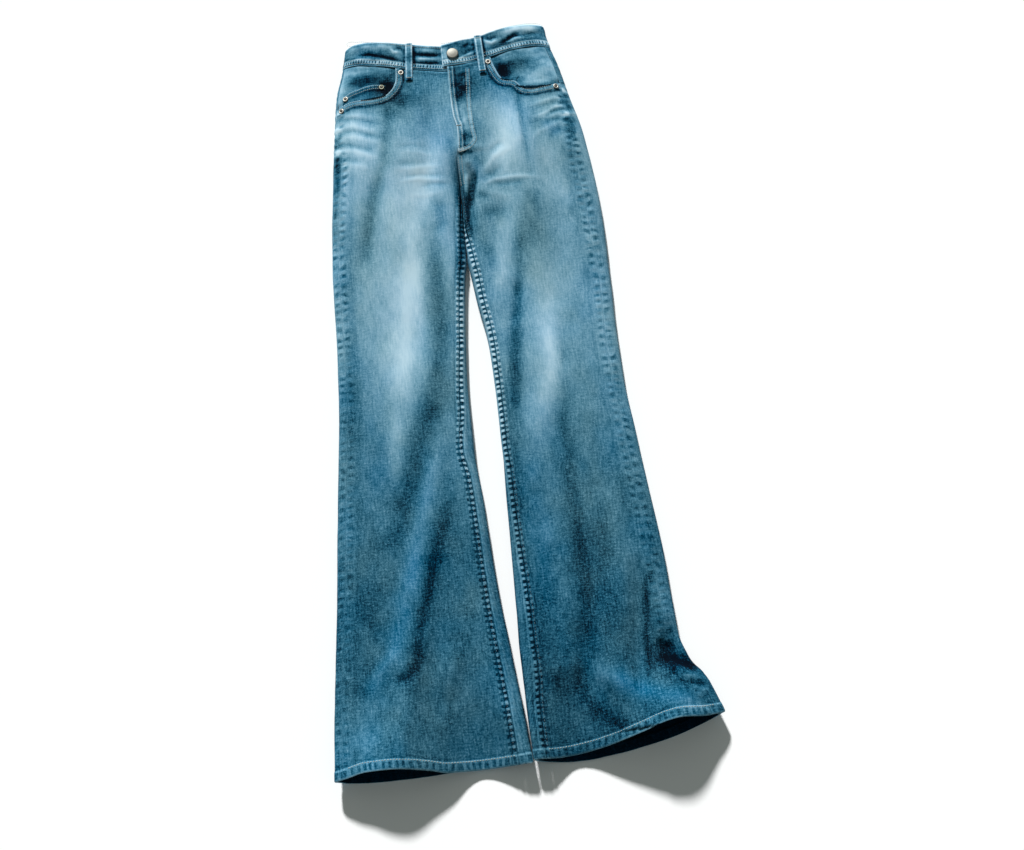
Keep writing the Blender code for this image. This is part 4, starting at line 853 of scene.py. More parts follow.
indigo = (          # tone, colour: raw indigo to bare worn cotton
    (0.00, (0.001, 0.003, 0.007)), (0.14, (0.0025, 0.016, 0.032)), (0.235, (0.007, 0.037, 0.066)),
    (0.33, (0.015, 0.069, 0.112)), (0.42, (0.032, 0.109, 0.166)), (0.515, (0.059, 0.160, 0.230)),
    (0.61, (0.100, 0.223, 0.305)), (0.70, (0.157, 0.300, 0.390)), (0.80, (0.232, 0.386, 0.482)),
    (0.89, (0.321, 0.481, 0.580)), (1.00, (0.430, 0.585, 0.675)),
)


def nodeGroup(name, inputs, outputs):
    tree = bpy.data.node_groups.new(name, "ShaderNodeTree")
    for label, kind, value in inputs:
        socket = tree.interface.new_socket(name=label, in_out="INPUT", socket_type=kind)
        if value is not None:
            socket.default_value = value
    for label, kind in outputs:
        tree.interface.new_socket(name=label, in_out="OUTPUT", socket_type=kind)
    return tree, tree.nodes.new("NodeGroupInput").outputs, tree.nodes.new("NodeGroupOutput").inputs


def addNode(tree, kind, settings=(), values=()):
    node = tree.nodes.new(kind)
    for label, value in dict(settings).items():
        setattr(node, label, value)
    for label, value in dict(values).items():
        if isinstance(value, bpy.types.NodeSocket):
            tree.links.new(value, node.inputs[label])
        else:
            node.inputs[label].default_value = value
    return node


def mathNode(tree, operation, first, second=0.0, clamp=False):
    node = addNode(tree, "ShaderNodeMath", {"operation": operation, "use_clamp": clamp}, {0: first, 1: second})
    return node.outputs[0]


def sums(tree):
    return (partial(mathNode, tree, operation) for operation in ("ADD", "SUBTRACT", "MULTIPLY", "DIVIDE"))


def mapped(tree, vector, stretch, start=(0, 0, 0)):
    return addNode(tree, "ShaderNodeMapping", {}, {"Vector": vector, "Scale": stretch, "Location": start}).outputs[0]


def noiseNode(tree, vector, stretch, detail=2.0, roughness=0.5, start=(0, 0, 0)):
    # soft noise about zero
    node = addNode(tree, "ShaderNodeTexNoise", {"noise_dimensions": "3D"}, {
        "Vector": mapped(tree, vector, stretch, start), "Scale": 1.0, "Detail": detail, "Roughness": roughness,
    })
    return mathNode(tree, "SUBTRACT", node.outputs[0], 0.5)


def makeDenimGroup():
    # yarns, slubs and the wash of a twill cloth; Cloth is the place in the cut piece, in metres
    tree, given, result = nodeGroup(
        "twillWash",
        (("Cloth", "NodeSocketVector", None), ("Tone", "NodeSocketFloat", 0.5), ("Blue", "NodeSocketFloat", 0.0),
         ("Slub", "NodeSocketFloat", 0.5), ("Grain", "NodeSocketFloat", 0.4), ("Twill", "NodeSocketFloat", 0.05)),
        (("Color", "NodeSocketColor"), ("Height", "NodeSocketFloat"), ("Roughness", "NodeSocketFloat")),
    )
    plus, minus, times, _ = sums(tree)
    cloth, tone, blue = given["Cloth"], given["Tone"], given["Blue"]
    yarn = {name: noiseNode(tree, cloth, *settings) for name, settings in denimLook["yarns"].items()}
    twill = addNode(
        tree, "ShaderNodeTexWave", {"wave_type": "BANDS", "bands_direction": "DIAGONAL"},
        {"Vector": mapped(tree, cloth, denimLook["twill"]), "Scale": 1.0, "Distortion": denimLook["twillWander"],
         "Detail": 1.0},
    ).outputs["Fac"]
    # bare cotton shows only faint lengthwise yarns, the middle of the wash all of them
    grains = times(plus(plus(yarn["fine"], yarn["speckle"]), yarn["weft"]),
                   times(given["Grain"], minus(denimLook["bareTone"], tone, True)))
    ridges = times(minus(twill, 0.5), given["Twill"])
    relief = plus(plus(times(yarn["warp"], given["Slub"]), grains), ridges)
    most, loss = denimLook["spread"]
    shade = plus(tone, times(relief, minus(most, times(tone, loss), True)))
    shade = plus(shade, times(yarn["cloudy"], denimLook["clouds"]), True)
    ramp = addNode(tree, "ShaderNodeValToRGB", {}, {0: shade})
    while len(ramp.color_ramp.elements) < len(indigo):
        ramp.color_ramp.elements.new(0.5)
    for element, (position, colour) in zip(ramp.color_ramp.elements, indigo):
        element.position, element.color = position, (*colour, 1.0)
    tints = {label: plus(times(blue, change), middle) for label, (change, middle) in denimLook["tint"].items()}
    tinted = addNode(tree, "ShaderNodeHueSaturation", {}, {"Color": ramp.outputs[0], **tints})
    dull, polish = denimLook["rough"]
    for label, value in (
        ("Color", tinted.outputs[0]), ("Height", plus(relief, times(twill, denimLook["twillDepth"]))),
        ("Roughness", minus(dull, times(shade, polish))),
    ):
        tree.links.new(value, result[label])
    return tree


knotWander = 2.4        # periods over which a row of knots strays
seamPuckers = {         # places are mm from the seam plus 100, as the attributes are
    "hemClear": (114.0, 3.0), "fork": (0.02, -16.0), "knee": (0.10, -2.2),
    "groove": (94.6, 105.4, 1.4), "grooveTone": 0.20, "edging": ((92.8, 1.6, 1.0), (86.0, 7.0, 0.5)),
    "edgingTone": 0.40, "line": (100.2, 1.3), "lineTone": 0.35,
    "knots": (8.0, 6.0, 2.3, 0.10, 1.7),        # period, jitter, seed, bias, gain
    "rows": ((97.4, 3.3, 1.25, 0.72), (103.0, 2.5, 0.75, 0.50)), "rowSharpness": 1.5,   # centre, width, dark, pale
    "patches": (30.0, 30.0, 30.0), "patchy": (3.2, 0.55),
    "lobes": ((105.8, 6.6, 4.1, 0.15), (94.4, 7.0, 8.7, 0.12)), "lobeDark": 0.58,       # centre, width, seed, pale
    "blobs": (13.5, 12.0), "blobShape": (-0.2, 0.9),
    "hemBand": (101.6, 111.4, 1.2), "ropes": (8.6, 7.0, 6.1, -0.1, 1.2), "ropeTone": (0.12, 0.40),
}


def hill(tree, value, centre, width):
    # 1 at the centre, falling to 0 at the width on both sides
    away = mathNode(tree, "ABSOLUTE", mathNode(tree, "SUBTRACT", value, centre))
    return mathNode(tree, "SUBTRACT", 1.0, mathNode(tree, "DIVIDE", away, width), True)


def plateau(tree, value, low, high, soft):
    # 1 between low and high, falling over the soft width inside them
    away = mathNode(tree, "ABSOLUTE", mathNode(tree, "SUBTRACT", value, (high + low) / 2))
    return mathNode(tree, "DIVIDE", mathNode(tree, "SUBTRACT", (high - low) / 2, away), soft, True)


def knotRow(tree, cloth, along, period, jitter, seed, bias, gain):
    # an uneven row of soft dots along a seam, between 0 and 1
    plus, _, times, _ = sums(tree)
    wander = noiseNode(tree, cloth, (1000 / (knotWander * period),) * 3, 1.0, 0.5, (seed, 1.7 * seed, 0))
    phase = plus(times(along, 1000 * math.tau / period), times(wander, jitter))
    wave = plus(mathNode(tree, "SINE", phase), bias)
    return plus(times(wave, gain), 0.5, True)


def makeSeamGroup():
    # factor on the wash where leg seams and hems are felled: dark puckers between worn knots
    look = seamPuckers
    tree, given, result = nodeGroup(
        "stitchedSeams",
        (("Cloth", "NodeSocketVector", None), ("Inseam", "NodeSocketFloat", 0.0), ("Outseam", "NodeSocketFloat", 0.0),
         ("Hem", "NodeSocketFloat", 0.0)),
        (("Factor", "NodeSocketFloat"), ("Height", "NodeSocketFloat")),
    )
    plus, minus, times, over = sums(tree)
    cloth, inseam, outseam, hem = (given[label] for label in ("Cloth", "Inseam", "Outseam", "Hem"))
    across, down, _ = addNode(tree, "ShaderNodeSeparateXYZ", {}, {0: cloth}).outputs
    clearOfHem = over(minus(hem, look["hemClear"][0]), look["hemClear"][1], True)
    belowFork, lower = (times(plus(down, start), steep, True) for start, steep in (look["fork"], look["knee"]))
    knots = knotRow(tree, cloth, down, *look["knots"])
    groove = times(plateau(tree, inseam, *look["groove"]), lower)
    near, far = (times(hill(tree, inseam, centre, width), share) for centre, width, share in look["edging"])
    edging = times(plus(near, far), lower)
    line = times(hill(tree, inseam, *look["line"]), belowFork)
    total = minus(times(edging, look["edgingTone"]),
                  plus(times(groove, look["grooveTone"]), times(line, look["lineTone"])))
    total = times(total, clearOfHem)
    for centre, width, dark, pale in look["rows"]:
        row = times(hill(tree, inseam, centre, width), clearOfHem)
        row = times(times(row, look["rowSharpness"], True), belowFork)
        total = plus(total, times(row, minus(pale, times(knots, dark))))
    contrast, least = look["patchy"]
    patchy = plus(times(noiseNode(tree, cloth, look["patches"]), contrast), least, True)
    for centre, width, seed, pale in look["lobes"]:
        lobe = times(times(hill(tree, outseam, centre, width), clearOfHem), patchy)
        blobs = knotRow(tree, cloth, down, *look["blobs"], seed, *look["blobShape"])
        total = plus(total, times(lobe, minus(pale, times(blobs, look["lobeDark"]))))
    ropes = knotRow(tree, cloth, across, *look["ropes"])
    pale, dark = look["ropeTone"]
    total = plus(total, times(plateau(tree, hem, *look["hemBand"]), minus(pale, times(ropes, dark))))
    tree.links.new(plus(total, 1.0), result["Factor"])
    tree.links.new(total, result["Height"])
    return tree


def makeGrainGroup():
    # twisted sewing thread, or brushed metal, from the piece's own place
    tree, given, result = nodeGroup(
        "fineGrain",
        (("Place", "NodeSocketVector", None), ("Size", "NodeSocketFloat", 900.0), ("Cloud", "NodeSocketFloat", 60.0)),
        (("Grain", "NodeSocketFloat"), ("Patch", "NodeSocketFloat")),
    )
    for label, size, detail in (("Grain", "Size", grainLook["detail"]), ("Patch", "Cloud", grainLook["patchDetail"])):
        noise = addNode(tree, "ShaderNodeTexNoise", {},
                        {"Vector": given["Place"], "Scale": given[size], "Detail": detail})
        tree.links.new(noise.outputs[0], result[label])
    return tree


def newMaterial(name, roughness, metallic=0.0):
    material = bpy.data.materials.new(name)
    material.use_nodes = True
    shader = material.node_tree.nodes["Principled BSDF"]
    shader.inputs["Roughness"].default_value = roughness
    shader.inputs["Metallic"].default_value = metallic
    shader.inputs["Specular IOR Level"].default_value = denimLook["gloss"]["metal" if metallic else "cloth"]
    return material, material.node_tree, shader


def setFinish(tree, shader, colour, roughness, height, strength, depth):
    bumpNode = addNode(tree, "ShaderNodeBump", {}, {"Strength": strength, "Distance": depth, "Height": height})
    for label, value in (("Base Color", colour), ("Roughness", roughness), ("Normal", bumpNode.outputs[0])):
        tree.links.new(value, shader.inputs[label])


def denimMaterial(name):
    slub, grain, share, added = denimLook["cloths"][name]
    material, tree, shader = newMaterial(name, denimLook["roughness"])
    shader.inputs["Sheen Weight"].default_value = denimLook["sheen"]
    shader.inputs["Sheen Roughness"].default_value = denimLook["sheenRoughness"]
    plus, _, times, _ = sums(tree)
    cloth = addNode(tree, "ShaderNodeUVMap", {"uv_map": "cloth"}).outputs[0]
    tone, blue, inseam, outseam, hem = (
        addNode(tree, "ShaderNodeAttribute", {"attribute_name": label}).outputs["Fac"]
        for label in ("tone", "blue", "inseam", "outseam", "hem")
    )
    seams = addNode(tree, "ShaderNodeGroup", {"node_tree": seamGroup},
                    {"Cloth": cloth, "Inseam": inseam, "Outseam": outseam, "Hem": hem})
    tone = plus(times(times(tone, seams.outputs["Factor"]), share), added)
    weave = addNode(tree, "ShaderNodeGroup", {"node_tree": denimGroup},
                    {"Cloth": cloth, "Tone": tone, "Blue": blue, "Slub": slub, "Grain": grain})
    relief = plus(weave.outputs["Height"], seams.outputs["Height"])
    setFinish(tree, shader, weave.outputs["Color"], weave.outputs["Roughness"], relief, denimLook["bump"],
              denimLook["bumpDepth"])
    return material


def plainMaterial(name):
    first, second, roughness, size, cloud, strength = plainLook[name]
    material, tree, shader = newMaterial(name, roughness, 1.0 if name.endswith("Metal") else 0.0)
    plus, _, times, _ = sums(tree)
    place = addNode(tree, "ShaderNodeTexCoord").outputs["Object"]
    grain = addNode(tree, "ShaderNodeGroup", {"node_tree": grainGroup}, {"Place": place, "Size": size, "Cloud": cloud})
    blend = addNode(tree, "ShaderNodeMix", {"data_type": "RGBA"}, {0: grain.outputs["Patch"]})
    blend.inputs[6].default_value = (*first, 1.0)
    blend.inputs[7].default_value = (*second, 1.0)
    change = grainLook["roughening"]
    rough = plus(times(grain.outputs["Grain"], change), roughness - change / 2)
    setFinish(tree, shader, blend.outputs[2], rough, grain.outputs["Grain"], strength, grainLook["bumpDepth"])
    return material


denimGroup, seamGroup, grainGroup = makeDenimGroup(), makeSeamGroup(), makeGrainGroup()
materials = {name: denimMaterial(name) for name in denimLook["cloths"]}
materials.update({name: plainMaterial(name) for name in plainLook})
print("finishes ready:", len(materials))


# fronts

frontPanel = {
    "columns": 84, "mouthRows": 48, "firstRow": 133.3,
    "rows": ((-60, 110), (-640, 216), (-800.4, 62)), "hemRows": (-801.6, -813.8, 9),    # y at a stretch's end, count
    "mouthCentre": (187.0, 136.0), "crowding": 0.45, "leanFrom": (70, 68), "tubeFrom": 34, "rounds": 6,
}


def legRows(first):
    stretches = []
    for last, count in frontPanel["rows"]:
        stretches.append(np.linspace(first, last, count)[:-1])
        first = last
    return np.concatenate((*stretches, [first], np.linspace(*frontPanel["hemRows"]), [pattern["hemLine"]]))[:, None]


def hemThick(rows):
    thick = np.full(len(rows), sheetLook["legShare"])
    thick[-frontPanel["hemRows"][2] - 1:] = 1.0
    return thick


def hemBend(row, hem):
    return row + ease((pattern["hemLine"] + hemReach - row) / hemReach) * (hem - pattern["hemLine"])


def closeness(share):
    # shares that lie closer together at both ends
    return mix(share, 0.5 - 0.5 * np.cos(math.pi * share), frontPanel["crowding"])


def frontPlan(side):
    shares = closeness(np.linspace(0, 1, frontPanel["columns"] + 1))[None, :]
    count = frontPanel["mouthRows"]
    mouth = mouthLine(side, count)
    index = np.arange(count + 1)[:, None] / count
    centre = mix(*frontPanel["mouthCentre"], index)
    out = mix(mouth[:, :1], flyEnd[side](centre), shares)
    nearMouth = (1 - shares) ** 4
    y = mix(mix(centre, mouth[:, 1:], nearMouth), waistSeam[side](out) - pattern["gap"],
            (1 - index) ** (2 + 10 * nearMouth))
    rows = legRows(frontPanel["firstRow"])
    start, run = frontPanel["leanFrom"]
    lean = (mouth[-1, 1] - frontPanel["mouthCentre"][1]) * ease((rows - start) / run)

    def bend(place):
        return hemBend(rows, frontHem[side](place)) + lean * (np.maximum(place, 0) / mouth[-1, 0]) ** 4

    startY = endY = rows
    for _ in range(frontPanel["rounds"]):
        start = outerEdge[side](startY) - outseamInset[side](startY)
        startY = bend(start)
        end = np.where(endY > frontPanel["tubeFrom"], flyEnd[side](endY),
                       innerEdge[side](endY) + inseamInset[side](endY))
        endY = bend(end)
    outLeg = mix(start, end, shares)
    return np.concatenate((out, outLeg)), np.concatenate((y, bend(outLeg)))


def makeFront(name, side):
    out, y = frontPlan(side)
    cloth = np.stack((side * out, y), axis=-1)
    return clothPiece(name, *frontSkin(side, out, y), cloth, ("washedDenim", "insideDenim"), "denim",
                      sheetLook["hemWall"], hemThick(out), traces=seamTraces(side, out, y))


for half, side in halves:
    makeFront(f"front_{half}", side)
print("fronts sewn")


# backs and yokes

backPanel = {
    "edge": 16, "flat": 26, "crowding": (1.5, 1.3), "tubeFrom": 6, "rounds": 6,
    "top": 132.0, "topStart": (42, 90), "yokeGap": 0.15, "yokeRows": (190.0, 140.0, 25),
    "lowest": 0.05, "sunk": 0.25, "waves": (0.3, 15, 30, 40), "yokeSeam": (0.5, 1.4), "centreSeam": (0.4, 4, 10, 1.6),
    "tone": 0.06, "worn": (0.1, 90, 50, -420, 200), "hem": (14, 1.4, 0.1, 0.14), "hemSeed": (63, 7.2),
    "hemLine": ((12.4, 1.1, 0, 0.25),), "turn": 14, "unrolled": 400,
}


def wrapPlace(side, y):
    # places on the wrap line from the outseam, round the outer fold, under and up to the inseam
    first = np.linspace(0, 1, backPanel["edge"] + 1)[None, :]
    roll, inset = rollAt(y), inseamInset[side](y)
    width = outerEdge[side](y) - innerEdge[side](y)
    tubePower, seamPower = backPanel["crowding"]
    outer = np.where(first < 0.5, -outseamInset[side](y) * (1 - 2 * first),
                     roll * np.maximum(2 * first - 1, 0) ** tubePower)
    flat = mix(roll, width - roll, np.linspace(0, 1, backPanel["flat"] + 1)[None, 1:])
    last = first[:, 1:]
    tube = np.where(last < 0.5, -roll * np.maximum(1 - 2 * last, 0) ** tubePower, inset * (2 * last - 1))
    seam = -roll * (1 - last) ** seamPower - 0.02
    return np.concatenate((outer, flat, width + mix(seam, tube, ease(inset / backPanel["tubeFrom"]))), axis=1)


def backRelief(side, along, y):
    look = backPanel
    out, onTop = wrapOut(side, along, y)
    height, tone = topRelief(side, out, y, False)
    depth, width = look["yokeSeam"]
    under = -look["sunk"] - waves((look["waves"],), out, y) - depth * bump(y - yokeAt(out), width)
    depth, start, run, width = look["centreSeam"]
    under -= depth * ease((y - start) / run) * bump(out, width)
    strength, middle, width, start, run = look["worn"]
    underTone = washTone(side, out, y) + look["tone"] + strength * bump(out - middle, width) * ease((y - start) / run)
    above = y - backHem[side](out)
    start, run, pale, crimp = look["hem"]
    seed, period = look["hemSeed"]
    underTone += ease((start - above) / run) * (pale + crimp * pucker(seed + side, out, period))
    underTone += profile(above, look["hemLine"])[1]
    width = outerEdge[side](y) - innerEdge[side](y)
    distance = np.where(along < width / 2, along, width - along)
    blend = np.where(onTop, 0.0, ease(np.maximum(distance, 0) / look["turn"]))
    return mix(height, under, blend), mix(tone, underTone, blend)


def wrapSkin(side, along, y):
    normal = facingOut(side, wrapPoint, along, y)
    height, tone = backRelief(side, along, y)
    points = wrapPoint(side, along, y) + normal * np.expand_dims(height, -1)
    points[..., 2] = np.maximum(points[..., 2], backPanel["lowest"])
    return points, normal, tone


def wrapPiece(name, side, level, bend, thick=None, wall=sheetLook["wall"]):
    y = np.repeat(level, 2 * backPanel["edge"] + backPanel["flat"] + 1, axis=1)
    for _ in range(backPanel["rounds"]):
        along = np.concatenate([wrapPlace(side, y[:, k:k + 1])[:, k:k + 1] for k in range(y.shape[1])], axis=1)
        out, onTop = wrapOut(side, along, y)
        y = bend(np.abs(out), onTop)
    cloth = np.stack((side * (backPanel["unrolled"] - along), y), axis=-1)
    return clothPiece(name, *wrapSkin(side, along, y), cloth, ("washedDenim", "insideDenim"), "denim", wall, thick,
                      traces=seamTraces(side, out, y, ~onTop), place=np.stack((side * out, y), axis=-1))


def backWaist(side, out):
    edge = outerEdge[side](pattern["waistLine"] + 12)
    return mix(pattern["waistLine"], waistSeam[side](edge), out / edge)


def makeBack(name, side):
    top, gap = backPanel["top"], backPanel["yokeGap"]
    start, run = backPanel["topStart"]
    rows = legRows(top)

    def bend(out, onTop):
        hem = np.where(onTop, frontHem[side](out), backHem[side](out))
        return hemBend(rows, hem) + ease((rows - start) / run) * (yokeAt(out) - top - gap)

    return wrapPiece(name, side, rows, bend, hemThick(rows), sheetLook["hemWall"])


def makeYoke(name, side):
    high, low, count = backPanel["yokeRows"]
    shares = np.linspace(0, 1, count)[:, None]

    def bend(out, onTop):
        seam = np.where(onTop, waistSeam[side](out), backWaist(side, out)) - pattern["gap"]
        return mix(seam, yokeAt(out) + backPanel["yokeGap"], shares)

    return wrapPiece(name, side, mix(high, low, shares), bend)


for half, side in halves:
    makeBack(f"back_{half}", side)
    makeYoke(f"yoke_{half}", side)
print("backs and yokes sewn")


# waistband

waistband = {
    "proud": 0.7, "lapRaise": 3.0, "lapFade": (20, 24), "wall": 2.6, "edge": 0.5, "lowest": 2.05, "rounds": 6,
    "topStep": 0.78, "underStep": 4.0, "foldStep": 1.0, "fold": (-4.0, 12.0), "measuredAt": 222.0,
    "rows": ((0.0, 0.025, 0.05), (0.08, 0.93, 19), (0.955, 0.975, 0.99, 1.0)),
    "ends": {left: -22.0, right: -5.0},                 # where the strip ends at the lap
    "endWorn": ((2.4, 1.8, 0, 0.30),), "endRound": ((1.3, 1.3, -0.8, 0),),
    "tone": 0.49, "shadeGain": (1.7, 1.3),              # dark marks, pale marks
    "waves": ((0.35, 17, 16, 12),), "toneWaves": ((0.11, 33, 26, 16), (0.13, 38, 11, 5)),
    "ribs": (2.2, 101, 4.1), "ladder": (3.4, 0.9, 9.2, 0.9), "ribHeight": 0.25, "ribTone": (0.36, -0.08),
    "crimps": (0.3, 103, 9.0, 13, 3.5),                 # height, seed, period, place, width
    "fromSeam": {
        "ridges": ((2.6, 0.8, -0.35, 0), (9.4, 0.8, -0.35, 0), (3.7, 0.8, 0, 0.36), (2.4, 0.8, 0, -0.30),
                   (9.9, 0.9, 0, 0.34), (12.8, 1.6, 0, -0.16)),
        "steps": ((1.0, 1.0, -0.5, 0), (1.8, 1.0, 0, 0.16)),
    },
    "fromTop": {
        "ridges": ((7, 5, 0, 0.05), (4.6, 1.4, 0, -0.10)),
        "steps": ((1.5, 1.5, -0.9, 0), (3.0, 2.0, 0, 0.24)),
    },
    # the marks' tone is partly the band's wash, partly painted shade in its creases and painted highlight on its rolls
    "marks": (       # height, width, tone, line of (x, y)
        (0.8, 5, 0.12, ((-148, 234), (-120, 240), (-90, 239), (-66, 236))),
        (-1.4, 2.0, -0.34, ((-128, 228), (-110, 227), (-88, 220), (-62, 211))),
        (0.0, 5.0, -0.12, ((-120, 230), (-96, 226), (-66, 216))),
        (0.8, 3.0, 0.10, ((-136, 222), (-104, 218), (-70, 207))),
        (0.9, 2.6, 0.28, ((-80, 234), (-74, 227), (-66, 226))),
        (-0.8, 2.0, -0.24, ((-72, 236), (-64, 233), (-60, 226))),
        (-1.0, 2.2, -0.20, ((-140, 216), (-116, 214))),
        (-1.4, 2.0, -0.38, ((-48, 221), (-28, 217), (-16, 215), (-3, 215))),
        (0.8, 3.2, 0.18, ((-38, 226), (-24, 223), (-8, 221))),
        (0.8, 2.2, 0.24, ((-46, 213), (-26, 209), (-4, 207))),
        (-1.0, 1.8, -0.34, ((-46, 206), (-26, 203), (-4, 201))),
        (1.2, 6.0, 0.16, ((70, 243), (108, 246), (150, 245))),
        (-1.8, 3.0, -0.42, ((78, 222), (90, 228), (104, 236), (114, 240))),
        (-0.9, 2.6, -0.20, ((96, 233), (124, 236), (150, 236))),
        (-0.8, 4.0, -0.14, ((60, 218), (80, 219), (104, 222))),
        (1.0, 2.4, 0.30, ((55, 236), (61, 230), (70, 226), (82, 231))),
        (-0.8, 2.4, -0.24, ((60, 237), (68, 234), (80, 237))),
        (0.8, 3.0, 0.16, ((94, 224), (106, 229), (120, 231))),
        (0.9, 2.0, 0.30, ((17, 201), (28, 207), (44, 213))),
        (-0.8, 3.0, -0.26, ((24, 222), (36, 228), (48, 224))),
        (-0.6, 3.0, -0.20, ((24, 208), (36, 217), (48, 220))),
        (0.0, 4.0, 0.20, ((0, 228), (1, 208), (1, 190))),
        (0.0, 12, -0.13, ((-46, 222), (-24, 218), (-2, 214))),
        (0.0, 8, 0.14, ((88, 244), (112, 247), (150, 246))),
        # shade beside the two front loops
        (0.0, 2.2, -0.34, ((-47, 192), (-45, 214), (-44, 240))),
        (0.0, 1.8, -0.20, ((-63, 196), (-60, 214), (-58, 242))),
        (0.0, 2.2, -0.34, ((59, 200), (58, 216), (57, 244))),
        (0.0, 1.8, -0.20, ((44, 196), (43, 214), (43, 240))),
    ),
}


def bandPlace(side, relative, share):
    # relative runs from the folded edge: -1 is the centre on top, 1 the centre at the back
    y = np.full(np.broadcast(relative, share).shape, pattern["waistLine"])
    for _ in range(waistband["rounds"]):
        edge = outerEdge[side](y)
        along = relative * edge
        out = edge - np.abs(along)
        low = np.where(along <= 0, waistSeam[side](out), backWaist(side, out))
        high = np.where(along <= 0, waistTop[side](out), mix(pattern["backTop"], waistTop[side](edge), out / edge))
        y = mix(low + pattern["gap"], high, share)
    return along, out, y, low, high


def bandRaise(side, out, along):
    start, run = waistband["lapFade"]
    lap = 0.0 if side == left else waistband["lapRaise"] * (1 - ease((out - start) / run))
    return np.where(along <= 0, lap, 0.0)


def bandSkin(side, relative, share):
    look = waistband
    along, out, y, low, high = bandPlace(side, relative, share)
    normal = facingOut(side, wrapPoint, along, y)
    x, onTop = side * out, along <= 0
    drawn, shade = strokes(look["marks"], np.where(onTop, x, 400.0), y)      # 400 is clear of every mark
    darker, paler = look["shadeGain"]
    above, below = y - low, high - y
    strength, seed, period = look["ribs"]
    ribs = np.clip(strength * pucker(seed + side, along, period), -1, 1)
    ladder = flatTop(above, *look["ladder"])
    height, tone = profile(above, **look["fromSeam"]) + profile(below, **look["fromTop"])
    strength, seed, period, place, width = look["crimps"]
    height += drawn + look["ribHeight"] * ladder * ribs + waves(look["waves"], x, y)
    height += strength * pucker(seed, along, period) * bump(above - place, width)
    gain, base = look["ribTone"]
    tone += look["tone"] + np.where(shade < 0, darker, paler) * shade + waves(look["toneWaves"], x, y)
    tone += ladder * (gain * ribs + base)
    fromEnd = np.where(onTop, out - look["ends"][side], 99.0)       # 99 is clear of the end
    if side == right:
        tone += profile(fromEnd, (), look["endWorn"])[1]
    height += profile(fromEnd, (), look["endRound"])[0]
    height = np.where(onTop, height, np.minimum(height, 0.0) * 0.5)      # only half as deep underneath
    lift = look["proud"] + bandRaise(side, out, along) + height
    points = wrapPoint(side, along, y) + normal * np.expand_dims(lift, -1)
    points[..., 2] = np.maximum(points[..., 2], look["lowest"])
    return points, normal, tone, np.stack((x, y), axis=-1)


def makeWaistband(name):
    low, middle, high = waistband["rows"]
    shares = np.concatenate((low, np.linspace(*middle), high))[:, None]
    foldStart, foldEnd = waistband["fold"]
    pieces = []
    for side, end in waistband["ends"].items():
        edge = float(outerEdge[side](waistband["measuredAt"]))
        top = np.arange(-(edge - end), foldStart, waistband["topStep"]) / edge
        fold = np.arange(foldStart, foldEnd, waistband["foldStep"]) / edge
        under = np.linspace(foldEnd / edge, 1.0, int((edge - foldEnd) / waistband["underStep"]))
        got = bandSkin(side, np.concatenate((top, fold, under))[None, :], shares)
        pieces.append(got if side == left else tuple(part[:, ::-1][:, 1:] for part in got))
    points, normals, tone, cloth = (np.concatenate(parts, axis=1) for parts in zip(*pieces))
    steps = np.linalg.norm(np.diff(points, axis=1), axis=-1).mean(axis=0)
    cloth = np.broadcast_arrays(np.concatenate(([0.0], np.cumsum(steps)))[None, :], cloth[..., 1])
    return clothPiece(name, points, normals, tone, np.stack(cloth, axis=-1), ("bandDenim", "bandDenim"), "denim",
                      waistband["wall"], edge=waistband["edge"])


makeWaistband("waistband")
print("waistband sewn")


# pocket facings and coin pocket

pocketFacing = {
    "under": 11.0, "along": 64, "across": 34, "cloth": 1.0, "corner": 150.0,
    "depth": (1.75, 0.4), "rise": (3, 30), "gapeSize": (22, 16), "sideDepth": 0.3, "sideSeam": 7, "sideRun": 6,
    "gape": {left: (90, 168, 2.5), right: (82, 174, 2.5)},
    # hollow holds painted shade in the gaping pocket mouth where its tone is below zero, and paler patches where above
    # zero
    "hollow": {         # out, y, width across, width down, tone
        left: ((102, 165, 17, 9, -0.46), (90, 171, 10, 11, -0.80), (122, 183, 21, 9, -0.40), (128, 199, 26, 7, 0.12),
               (158, 150, 12, 9, 0.34), (106, 190, 20, 7, -0.06), (116, 166, 12, 3, -0.12), (84, 186, 7, 9, -0.08),
               (154, 190, 10, 22, 0.18)),
        right: ((86, 187, 15, 6, -0.26), (92, 179, 13, 5, -0.22), (80, 180, 8, 9, -0.26), (84, 172, 8, 7, -0.16),
                (78, 182, 7, 8, -0.26), (85, 174, 7, 6, -0.22), (100, 166, 14, 7, -0.08), (124, 162, 20, 10, 0.20),
                (132, 153, 24, 5, 0.16), (104, 190, 20, 6, -0.20), (120, 182, 16, 8, -0.12), (142, 182, 16, 14, 0.16)),
    },
    "tone": {left: 0.38, right: 0.42}, "inwardTone": (0.14, 22), "sideTone": 0.12,
    "waves": ((0.35, 19, 22, 12), (0.2, 20, 9, 7)), "toneWaves": ((0.07, 35, 15, 9), (0.08, 39, 8, 4.5)),
    "waist": {"ridges": ((2.6, 1.3, 0, 0.12),), "steps": ((1.4, 1.0, 0, -0.2),)},
}


def facingDepth(side, out, y):
    look = pocketFacing
    middleOut, middleY, gape = look["gape"][side]
    wide, tall = look["gapeSize"]
    start, run = look["rise"]
    away, _, sideOf, _ = lineDistance(mouthPlaces[side], out, y)
    past = away * sideOf
    depth = mix(*look["depth"], ease((past - start) / run))
    depth = depth + gape * bump(out - middleOut, wide) * bump(y - middleY, tall)
    atSeam = bump(fromOutseam(side, out, y), look["sideSeam"]) * ease((past - start) / look["sideRun"])
    return mix(depth, look["sideDepth"], atSeam), past


